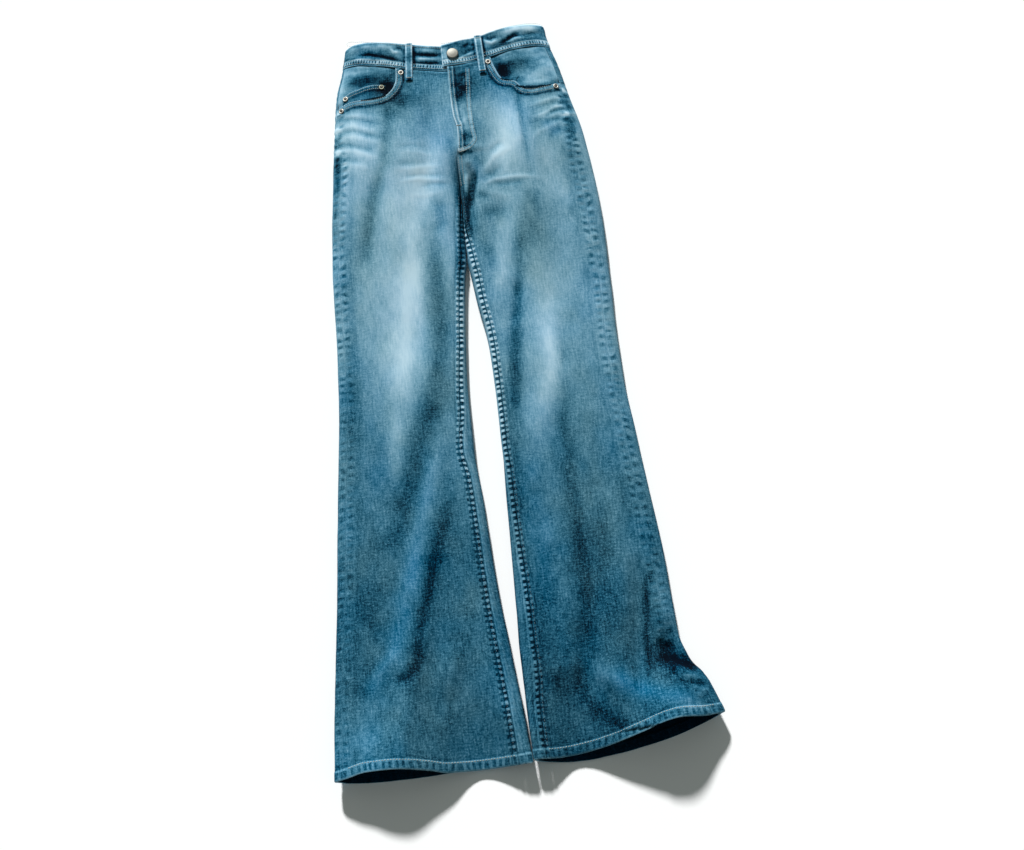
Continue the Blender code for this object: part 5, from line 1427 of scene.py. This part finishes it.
def facingSkin(side, out, y, raised=0.0):
    look = pocketFacing
    normal = facingOut(side, topPoint, out, y)
    depth, past = facingDepth(side, out, y)
    height = waves(look["waves"], out, y)
    paler, reach = look["inwardTone"]
    tone = look["tone"][side] + paler * ease(past / reach) + waves(look["toneWaves"], out, y)
    tone = tone + look["sideTone"] * bump(fromOutseam(side, out, y), look["sideSeam"])
    # painted shade in the hollow of the pocket mouth, and paler patches
    for spotOut, spotY, wide, tall, shade in look["hollow"][side]:
        tone = tone + shade * bump(out - spotOut, wide) * bump(y - spotY, tall)
    tone = tone + profile(waistSeam[side](out) - y, **look["waist"])[1]
    points = topPoint(side, out, y) + normal * np.expand_dims(raised + height - depth, -1)
    return points, normal, tone


def offsetLine(line, distance):
    line = np.asarray(line, float)
    run = np.gradient(line, axis=0)
    run /= np.linalg.norm(run, axis=1, keepdims=True)
    return line + np.stack((run[:, 1], -run[:, 0]), axis=1) * distance


def facingPlan(side):
    count, across, gap = pocketFacing["along"], pocketFacing["across"], pattern["gap"]
    mouth = mouthLine(side, count)
    start = offsetLine(mouth, pocketFacing["under"])
    cornerY = float(waistSeam[side](pocketFacing["corner"])) - gap
    cornerOut = float(outerEdge[side](cornerY) - outseamInset[side](cornerY))
    topLength, sideLength = cornerOut - mouth[0, 0], cornerY - mouth[-1, 1]
    reach = np.linspace(0, topLength + sideLength, count + 1)
    onTop = reach < topLength
    endY = np.where(onTop, 0.0, cornerY - (reach - topLength))
    endOut = np.where(onTop, mouth[0, 0] + reach, outerEdge[side](endY) - outseamInset[side](endY))
    endY = np.where(onTop, waistSeam[side](endOut) - gap, endY)
    shares = np.linspace(0, 1, across + 1)[None, :]
    out = mix(start[:, :1], endOut[:, None], shares)
    y = mix(start[:, 1:], endY[:, None], shares)
    return out, np.minimum(y, waistSeam[side](out) - gap)


def makeFacing(name, side):
    out, y = facingPlan(side)
    cloth = np.stack((side * out, y), axis=-1)
    return clothPiece(name, *facingSkin(side, out, y), cloth, ("facingDenim", "insideDenim"), "denim_dark",
                      pocketFacing["cloth"])


coinPocket = {
    "edges": (      # out, lower edge, upper edge
        (91, 150, 173), (98, 147, 174.8), (106, 144.5, 175), (119.6, 143, 173), (130, 142, 169.5),
        (142, 141.5, 166.3), (149.5, 141, 162.3), (155.5, 140, 157),
    ),
    # corner is painted shade next to the pocket mouth: tone, out where it starts, run, depth below the top edge, run
    "raised": 0.45, "cloth": 1.2, "columns": 70, "rows": 33, "tone": (0.42, 0.6), "corner": (-0.34, 101, 12, 5, 6),
    "sewn": {
        "seed": 111, "period": 5.2, "crimps": ((4, 3, 0.2, 0.08),),
        "ridges": ((1.7, 0.7, -0.35, 0), (6.0, 0.8, -0.35, 0), (6.2, 1.2, 0, 0.12), (3.4, 1.0, 0, -0.12),
                   (9.0, 2.4, 0, -0.22)),
        "steps": ((6.8, 1.2, 0.35, 0), (0.9, 0.9, -0.7, 0), (1.5, 1.0, 0, 0.30)),
    },
}
coinLow, coinHigh = smoothLine(coinPocket["edges"], 1), smoothLine(coinPocket["edges"], 2)


def coinSkin(out, y):
    below = coinHigh(out) - y
    height, shade = sewnEdge(coinPocket["sewn"], below, out)
    points, normal, tone = facingSkin(left, out, y, coinPocket["raised"] + coinPocket["cloth"] + height)
    # painted shade in the coin pocket's corner beside the pocket mouth
    darker, start, run, downStart, downRun = coinPocket["corner"]
    shade = shade + darker * ease((start - out) / run) * ease((below - downStart) / downRun)
    return points, normal, mix(tone, *coinPocket["tone"]) + shade


def makeCoinPocket(name):
    edges = coinPocket["edges"]
    out = np.linspace(edges[0][0], edges[-1][0], coinPocket["columns"])[None, :]
    shares = closeness(np.linspace(0, 1, coinPocket["rows"]))[:, None]
    out, y = np.broadcast_arrays(out, mix(coinLow(out), coinHigh(out), shares))
    cloth = np.stack((left * out, y), axis=-1)
    return clothPiece(name, *coinSkin(out, y), cloth, ("facingDenim", "insideDenim"), "denim", coinPocket["cloth"])


for half, side in halves:
    makeFacing(f"pocket_facing_{half}", side)
makeCoinPocket("coin_pocket")
print("pockets sewn")


# back pockets and belt loops

backPocket = {
    "rows": ((118, 69, 0), (84, 67.5, 0), (44, 65.5, 0), (4, 63, 0), (-6, 62, 26)),    # y, half width, drop
    "middle": 90.0, "cloth": 1.4, "below": 1.7, "columns": 49, "down": (118, -5.5, 46), "tone": 0.05, "lowest": 0.05,
    "sewn": {
        "ridges": ((2.0, 0.8, 0.22, 0), (7.5, 0.8, 0.22, 0), (10, 2.5, 0, -0.12)),
        "steps": ((1.0, 1.0, 0.25, 0), (1.6, 1.2, 0, 0.3)),
    },
}
pocketHalf, pocketDrop = smoothLine(backPocket["rows"], 1), smoothLine(backPocket["rows"], 2)


def patchSkin(side, across, y):
    # across runs from -1 to 1; the lower edge drops to a point in the middle
    half, inner = pocketHalf(y), 1 - np.abs(across)
    out = backPocket["middle"] + across * half
    level = y - pocketDrop(y) * inner
    height, tone = profile(np.minimum(inner * half, backPocket["rows"][0][0] - level), **backPocket["sewn"])
    height = np.maximum(underHeight(side, out, level) - backPocket["below"] + height, backPocket["lowest"])
    points = np.stack(np.broadcast_arrays(side * out, level, height), axis=-1)
    return points, facingDown(points), tone + washTone(side, out, level) + backPocket["tone"]


def makeBackPocket(name, side):
    across = np.linspace(-1, 1, backPocket["columns"])[None, :]
    y = np.concatenate((np.linspace(*backPocket["down"]), [backPocket["rows"][-1][0]]))[:, None]
    points, normals, tone = patchSkin(side, *np.broadcast_arrays(across, y))
    return clothPiece(name, points, normals, tone, points[..., :2], ("washedDenim", "insideDenim"), "denim",
                      backPocket["cloth"])


beltLoop = {
    "width": 10.0, "cloth": 2.0, "edge": 0.5, "from": 175.0, "backTo": 234.0, "rows": 52, "columns": 15,
    "front": (("belt_loop_front_left", left, 56.0, 51.0), ("belt_loop_front_right", right, 52.0, 50.5)),
    "back": (("belt_loop_back_left", left, 104.0), ("belt_loop_back_centre", right, 0.0),
             ("belt_loop_back_right", right, 104.0)),
    "backLook": {"cloth": 1.9, "edge": 0.3, "rows": 44, "columns": 11, "height": 0.05, "tone": 0.46,
                 "waves": ((0.05, 38, 8, 1),)},
    "backSewn": {"ridges": ((1.9, 0.6, 0.2, 0),), "steps": ((1.0, 1.0, 0.45, 0), (2.0, 1.2, 0, 0.3))},
    "rise": {"tack": 0.4, "seam": (-11, -4, 6), "above": (0.8, 1.4, 1.5, 0.8, 0.4), "middle": 0.55, "top": 6,
             "topGap": 0.5},
    "sewn": {
        "seed": 121, "period": 5.5, "crimps": ((1.6, 1.4, 0.2, 0.10),),
        "ridges": ((1.9, 0.6, -0.3, 0), (3.6, 1.2, 0.25, 0), (3.8, 1.2, 0, -0.20)),
        "steps": ((1.0, 1.0, -0.7, 0), (2.2, 1.2, 0, 0.18)),
    },
    "ends": ((3.2, 1.2, -0.35, 0), (6.5, 1.5, 0, 0.14)),
    # the foot and the left loop's fold are painted shade: a shadow at each loop's foot and shade in the left loop's
    # fold
    "tone": 0.66, "waves": (0.16, 37, 9, 3.0), "foot": ((0, 0.09, 0, -0.44),), "leftFold": ((0.6, 0.2, 0, -0.14),),
}


def loopRise(side, lower, upper):
    # how high a front loop stands over the cloth, and the y of its top
    look, middle = beltLoop["rise"], (lower + upper) / 2
    seam, top = float(waistSeam[side](middle)), float(waistTop[side](middle)) - look["topGap"]
    start, foot, crest = (seam + place for place in look["seam"])
    places = (foot, crest, mix(seam, top, look["middle"]), top - look["top"], top)
    onBand = [(place, waistband["proud"] + height) for place, height in zip(places, look["above"])]
    return smoothLine(((beltLoop["from"], look["tack"]), (start, look["tack"]), *onBand)), top


def loopSkin(side, lower, upper, share, across):
    look = beltLoop
    rise, top = loopRise(side, lower, upper)
    y = mix(look["from"], top, share)
    out = mix(lower, upper, share) + across * look["width"] / 2
    normal = facingOut(side, topPoint, out, y)
    height, tone = sewnEdge(look["sewn"], (1 - np.abs(across)) * look["width"] / 2, y, side)
    ends, endTone = profile(np.minimum(share, 1 - share) * (top - look["from"]), look["ends"])
    # painted shadow at the foot of each loop, and painted shade in the left loop's fold
    folds = look["foot"] + (look["leftFold"] if side == left else ())
    strength, seed, period, place = look["waves"]
    tone = tone + endTone + profile(share, folds)[1]
    tone = tone + look["tone"] + strength * unevenness(seed, y / period, side * place)
    points = topPoint(side, out, y) + normal * np.expand_dims(rise(y) + look["cloth"] + height + ends, -1)
    return points, normal, tone, np.stack(np.broadcast_arrays(out, y), axis=-1)


def makeFrontLoop(name, side, lower, upper):
    share, across = np.broadcast_arrays(np.linspace(0, 1, beltLoop["rows"])[:, None],
                                        np.linspace(-1, 1, beltLoop["columns"])[None, :])
    return clothPiece(name, *loopSkin(side, lower, upper, share, across), ("bandDenim", "bandDenim"), "denim",
                      beltLoop["cloth"], edge=beltLoop["edge"])


def makeBackLoop(name, side, out):
    look = beltLoop["backLook"]
    y, across = np.broadcast_arrays(np.linspace(beltLoop["from"], beltLoop["backTo"], look["rows"])[:, None],
                                    np.linspace(-1, 1, look["columns"])[None, :])
    half = beltLoop["width"] / 2
    x = side * out + across * half
    height, tone = profile((1 - np.abs(across)) * half, **beltLoop["backSewn"])
    points = np.stack((x, y, look["height"] + height), axis=-1)
    tone = look["tone"] + tone + waves(look["waves"], y, x)
    return clothPiece(name, points, facingDown(points), tone, np.stack((x, y), axis=-1), ("bandDenim", "bandDenim"),
                      "denim", look["cloth"], edge=look["edge"])


for half, side in halves:
    makeBackPocket(f"back_pocket_{half}", side)
for loop in beltLoop["front"]:
    makeFrontLoop(*loop)
for loop in beltLoop["back"]:
    makeBackLoop(*loop)
print("back pockets and belt loops sewn")


# button and rivets

fastener = {        # outlines as radius, height
    "button": ((0, 0.2), (6.5, 0.0), (7.7, 0.25), (8.45, 0.8), (8.7, 1.5), (8.4, 2.2), (7.7, 2.75), (7.0, 2.88),
               (6.4, 2.98), (4.8, 3.25), (3.3, 3.5), (1.7, 3.62), (0, 3.65)),
    "rivet": ((0, 0.0), (3.5, 0.0), (4.0, 0.35), (4.05, 0.7), (3.6, 1.15), (2.9, 1.3), (2.3, 1.1), (2.05, 0.6)),
    "post": ((2.05, 0.6), (1.7, 0.55), (1.45, 0.8), (1.2, 1.35), (0.7, 1.6), (0, 1.68)),
    "buttonAt": (11.0, 212.0), "buttonGap": 0.3, "rivetGap": 0.1, "turns": 40,
    "rivets": (     # name, half, out, y, metal
        ("rivet_waist_left", left, 66.9, 191.0, "silverMetal"),
        ("rivet_waist_right", right, 61.6, 194.5, "silverMetal"),
        ("rivet_side_left", left, 158.0, 138.0, "silverMetal"),
        ("rivet_side_right", right, 154.7, 142.2, "silverMetal"),
        ("rivet_coin_left", left, 97.0, 170.0, "brassMetal"),
        ("rivet_coin_right", left, 150.5, 156.0, "silverMetal"),
    ),
}


def turnedPiece(name, profiles, metals, seat, normal):
    builder = bmesh.new()
    for index, profileRows in enumerate(profiles):
        rim = [builder.verts.new((radius * mm, 0, height * mm)) for radius, height in profileRows]
        edges = [builder.edges.new(pair) for pair in zip(rim, rim[1:])]
        before = set(builder.faces)
        bmesh.ops.spin(builder, geom=rim + edges, cent=(0, 0, 0), axis=(0, 0, 1), angle=math.tau,
                       steps=fastener["turns"], use_merge=True)
        for face in set(builder.faces) - before:
            face.material_index = index
    bmesh.ops.remove_doubles(builder, verts=builder.verts, dist=1e-6)
    bmesh.ops.recalc_face_normals(builder, faces=builder.faces)
    turn = Vector(normal).to_track_quat("Z", "Y").to_matrix().to_4x4()
    bmesh.ops.transform(builder, matrix=Matrix.Translation(Vector(inFrame(seat))) @ turn, verts=builder.verts)
    return finishPiece(objectFrom(builder, f"{name}_metal", metals), (name,))


def makeFasteners():
    out, y = (np.array(value) for value in fastener["buttonAt"])
    normal = facingOut(right, topPoint, out, y)
    seat = topPoint(right, out, y) + normal * (waistband["proud"] + waistband["lapRaise"] + fastener["buttonGap"])
    turnedPiece("button", (fastener["button"],), ("buttonMetal",), seat, normal)
    for name, side, out, y, metal in fastener["rivets"]:
        out, y = np.array(out), np.array(y)
        seat, normal, _ = coinSkin(out, y) if "coin" in name else frontSkin(side, out, y)
        turnedPiece(name, (fastener["rivet"], fastener["post"]), (metal, "darkMetal"),
                    seat + normal * fastener["rivetGap"], normal)


makeFasteners()
print("button and rivets set")


# stitching, with its lengths and places in mm

sewing = {
    "stitch": {"length": 2.9, "pitch": 3.5, "thick": 0.85, "worn": False},
    "lift": 0.12, "underLift": 0.1, "flatness": 0.8, "unevenness": 0.12, "run": 0.6,
    "mouth": {"offsets": (2.0, 7.4), "points": 60, "below": 1.5, "stitch": {"pitch": 3.1, "length": 2.6}},
    "inseam": {"offset": 3.2, "down": (-14, -799, 260),
               "stitch": {"pitch": 3.85, "length": 2.4, "thick": 0.8, "worn": True}},
    "hem": {"above": 12.4, "at": -800.0, "points": 80, "frontEnds": (20, 18), "backEnds": (12, 14),
            "stitch": {"pitch": 3.6, "thick": 1.0}},
    "fly": {"down": (186, 50, 60), "offsets": (2.1, 6.6), "curveOffsets": (-2.3, 2.3), "curvePoints": 60,
            "stitch": {"pitch": 3.2, "length": 2.7}},
    "fork": {"down": (44, 2, 16), "offsets": (2.0, 6.6), "stitch": {"pitch": 3.2}},
    "bars": {"places": ((4.5, 50, 9, 2), (4.0, 92, 8, 0)), "points": 6,         # out, y, run out, run in y
             "stitch": {"pitch": 1.2, "length": 1.8, "thick": 1.2}},
    "band": {"ends": {left: -21.0, right: -4.0}, "edgeAt": 215.0, "last": 0.99, "points": 260, "share": 0.2,
             "scale": 100,
             "rows": ((3.6, 2.95, 2.4), (9.4, 2.95, 2.4), (39.4, 3.3, 2.5))},   # above the seam, pitch, length
    "coin": {"across": (92, 154.5, 44), "below": (1.8, 6.1), "stitch": {"pitch": 3.0, "length": 2.5}},
    "loop": {"shares": (0.07, 0.93), "half": 8, "points": 8, "stitch": {"pitch": 1.7, "length": 1.5, "thick": 1.1}},
    "yoke": {"above": (1.8, 7.0), "points": 70, "start": 3, "edgeAt": 150.0, "endGap": 8},
    "centreBack": {"out": 2.2, "down": (184, 2, 60)},
    "backPocket": {"inward": (2.2, 7.6), "reach": 66, "high": 112.0, "low": 4.0, "tip": -4.0, "pinch": 0.98,
                   "points": 120, "scale": 60, "mouthAt": 110.0, "mouthHalf": 58, "mouthPoints": 60},
}


def stitchPlaces(skin, first, second, pitch):
    # even places along a sewn line given by two rows of coordinates
    first, second = np.asarray(first, float), np.asarray(second, float)
    gone = np.concatenate(([0.0], np.cumsum(np.hypot(np.diff(first), np.diff(second)))))
    count = max(int(gone[-1] / pitch), 2)
    at = (np.arange(count) + 0.5) * gone[-1] / count
    here, before, after = (
        skin(np.interp(at + step, gone, first), np.interp(at + step, gone, second))
        for step in (0.0, -sewing["run"], sewing["run"])
    )
    return here[0], here[1], after[0] - before[0]


def sewPiece(name, lines):
    builder = bmesh.new()
    dice = np.random.default_rng(len(name) * 7 + len(lines))
    for skin, first, second, settings in lines:
        look = {**sewing["stitch"], **settings}
        places, normals, runs = stitchPlaces(skin, first, second, look["pitch"])
        for place, normal, run in zip(places, normals, runs):
            up = Vector(normal).normalized()
            ahead = Vector(run).normalized()
            across = up.cross(ahead).normalized()
            ahead = across.cross(up)
            turn = Matrix((ahead, across, up)).transposed().to_4x4()
            size = 1 + sewing["unevenness"] * dice.uniform(-1, 1)
            half = look["thick"] / 2 * mm
            shape = Matrix.Diagonal((look["length"] / 2 * mm * size, half, half * sewing["flatness"], 1.0))
            seat = Vector(inFrame(place)) + up * sewing["lift"] * mm
            ball = bmesh.ops.create_icosphere(builder, subdivisions=1, radius=1.0,
                                              matrix=Matrix.Translation(seat) @ turn @ shape)
            if look["worn"]:
                for face in {face for vert in ball["verts"] for face in vert.link_faces}:
                    face.material_index = 1
    return finishPiece(objectFrom(builder, name, ("thread", "wornThread")))


def sewFront(half, side):
    lines = []
    skin = partial(frontSkin, side)
    look = sewing["mouth"]
    for offset in look["offsets"]:
        line = offsetLine(mouthLine(side, look["points"]), offset)
        keep = line[:, 1] < waistSeam[side](line[:, 0]) - look["below"]
        lines.append((skin, line[keep, 0], line[keep, 1], look["stitch"]))
    look = sewing["inseam"]
    y = np.linspace(*look["down"])
    lines.append((skin, innerEdge[side](y) + inseamInset[side](y) + look["offset"], y, look["stitch"]))
    look = sewing["hem"]
    inner, outer = look["frontEnds"]
    out = np.linspace(innerEdge[side](look["at"]) + inner, outerEdge[side](look["at"]) - outer, look["points"])
    lines.append((skin, out, frontHem[side](out) + look["above"], look["stitch"]))
    if side == right:
        look = sewing["fly"]
        y = np.linspace(*look["down"])
        lines += [(skin, flyEnd[right](y) + offset, y, look["stitch"]) for offset in look["offsets"]]
        at = np.linspace(0, len(fly["curve"]) - 1, look["curvePoints"])
        curve = np.stack([smoothLine(list(enumerate(row)))(at) for row in zip(*fly["curve"])], axis=1)
        for offset in look["curveOffsets"]:
            lines.append((skin, *offsetLine(curve, offset).T, look["stitch"]))
        look = sewing["fork"]
        y = np.linspace(*look["down"])
        lines += [(skin, innerEdge[right](y) + offset, y, look["stitch"]) for offset in look["offsets"]]
        look = sewing["bars"]
        for barOut, barY, turnX, turnY in look["places"]:
            lines.append((skin, np.linspace(barOut, barOut + turnX, look["points"]),
                          np.linspace(barY, barY + turnY, look["points"]), look["stitch"]))
    return sewPiece(f"stitching_front_{half}", lines)


def sewBand():
    # places along the band are in hundredths of the way to the folded edge
    look, scale, lines = sewing["band"], sewing["band"]["scale"], []
    for side, end in look["ends"].items():
        edge = float(outerEdge[side](look["edgeAt"]))
        along = np.linspace(-(edge - end) / edge, look["last"], look["points"]) * scale

        def skin(place, above, side=side):
            _, _, _, low, high = bandPlace(side, place / scale, np.full(len(place), look["share"]))
            return bandSkin(side, place / scale, above / (high - low))

        for above, pitch, length in look["rows"]:
            lines.append((skin, along, np.full(len(along), above), {"pitch": pitch * scale / edge, "length": length}))
    return sewPiece("stitching_waistband", lines)


def sewSmall():
    look = sewing["coin"]
    out = np.linspace(*look["across"])
    lines = [(coinSkin, out, coinHigh(out) - below, look["stitch"]) for below in look["below"]]
    look = sewing["loop"]
    for _, side, lower, upper in beltLoop["front"]:
        def skin(across, share, side=side, lower=lower, upper=upper):
            return loopSkin(side, lower, upper, share, across / beltLoop["width"])
        across = np.linspace(-look["half"], look["half"], look["points"])
        lines += [(skin, across, np.full(len(across), share), look["stitch"]) for share in look["shares"]]
    return sewPiece("stitching_pockets_loops", lines)


def sewBack(half, side):
    def skin(out, y):
        points = np.stack((side * out, y, underHeight(side, out, y) + sewing["underLift"]), axis=-1)
        return points, facingDown(points)

    def pocketSkin(across, y):
        return patchSkin(side, across / sewing["backPocket"]["scale"], y)

    look = sewing["yoke"]
    out = np.linspace(look["start"], outerEdge[side](look["edgeAt"]) - look["endGap"], look["points"])
    lines = [(skin, out, yokeAt(out) + above, {}) for above in look["above"]]
    y = np.linspace(*sewing["centreBack"]["down"])
    lines.append((skin, np.full(len(y), sewing["centreBack"]["out"]), y, {}))
    look = sewing["hem"]
    inner, outer = look["backEnds"]
    out = np.linspace(innerEdge[side](look["at"]) + inner, outerEdge[side](look["at"]) - outer, look["points"])
    lines.append((skin, out, backHem[side](out) + look["above"], {}))
    look = sewing["backPocket"]
    for inward in look["inward"]:
        share = 1 - inward / look["reach"]
        oneSide = ((share, look["high"]), (share, look["low"]), (share * look["pinch"], look["tip"]))
        edge = np.array((*oneSide, (0.0, look["tip"]), *((-out, y) for out, y in oneSide[::-1])))
        gone = np.linspace(0, len(edge) - 1, look["points"])
        across, y = (np.interp(gone, range(len(edge)), column) for column in edge.T)
        lines.append((pocketSkin, across * look["scale"], y, {}))
    across = np.linspace(-look["mouthHalf"], look["mouthHalf"], look["mouthPoints"])
    lines.append((pocketSkin, across, np.full(len(across), look["mouthAt"]), {}))
    return sewPiece(f"stitching_back_{half}", lines)


for half, side in halves:
    sewFront(half, side)
    sewBack(half, side)
sewBand()
sewSmall()
print("stitched")


# floor, light and camera

studio = {
    "floorSize": 120.0, "floorGap": 0.0003, "sun": 6.1, "sunAngle": 5.0, "sunHeight": 28.0, "sunAcross": 0.28,
    "sky": 0.20, "skyColour": (0.90, 1.0, 0.95, 1.0), "surroundColour": (1.0, 1.0, 1.0, 1.0),
    "lens": 58.5, "sensor": 36.0, "distance": 2.28, "target": (33.8, -358.4, 0.0),
    "turn": 6.5, "tilt": 18.0, "lean": (0.1132, 0.9936, 0.0),
}
builder = bmesh.new()
bmesh.ops.create_grid(builder, x_segments=1, y_segments=1, size=studio["floorSize"] / 2)
bmesh.ops.translate(builder, vec=(0, 0, -studio["floorGap"]), verts=builder.verts)
objectFrom(builder, "floor", ("floor",))

turn, tilt, height = (math.radians(studio[name]) for name in ("turn", "tilt", "sunHeight"))
rightWay = Vector((math.cos(turn), -math.sin(turn), 0))
upWay, above = Vector(studio["lean"]).normalized(), Vector((0, 0, 1))
forward = upWay * math.sin(tilt) - above * math.cos(tilt)
camera = bpy.data.objects.new("camera", bpy.data.cameras.new("camera"))
bpy.context.scene.collection.objects.link(camera)
camera.data.lens, camera.data.sensor_width = studio["lens"], studio["sensor"]
axes = Matrix((rightWay, rightWay.cross(forward), -forward)).transposed().to_4x4()
camera.matrix_world = Matrix.Translation(Vector(inFrame(studio["target"])) - forward * studio["distance"]) @ axes
bpy.context.scene.camera = camera

sun = bpy.data.objects.new("keyLight", bpy.data.lights.new("keyLight", "SUN"))
bpy.context.scene.collection.objects.link(sun)
sun.data.energy, sun.data.angle = studio["sun"], math.radians(studio["sunAngle"])
shadowWay = (rightWay * studio["sunAcross"] - upWay).normalized()
sunWay = shadowWay * math.cos(height) - above * math.sin(height)
sun.rotation_euler = sunWay.to_track_quat("-Z", "Y").to_euler()

world = bpy.data.worlds.new("softSky")
bpy.context.scene.world = world
world.use_nodes = True
tree = world.node_tree
sky = tree.nodes["Background"]
sky.inputs["Color"].default_value = studio["skyColour"]
sky.inputs["Strength"].default_value = studio["sky"]
# white shows beyond the floor, and the dimmer sky lights it
surround = addNode(tree, "ShaderNodeBackground", {}, {"Color": studio["surroundColour"]})
rays = addNode(tree, "ShaderNodeLightPath")
seen = addNode(tree, "ShaderNodeMixShader", {}, {
    0: rays.outputs["Is Camera Ray"], 1: sky.outputs[0], 2: surround.outputs[0],
})
tree.links.new(seen.outputs[0], tree.nodes["World Output"].inputs["Surface"])
bpy.context.scene.view_settings.view_transform = "Standard"
print("stage lit")
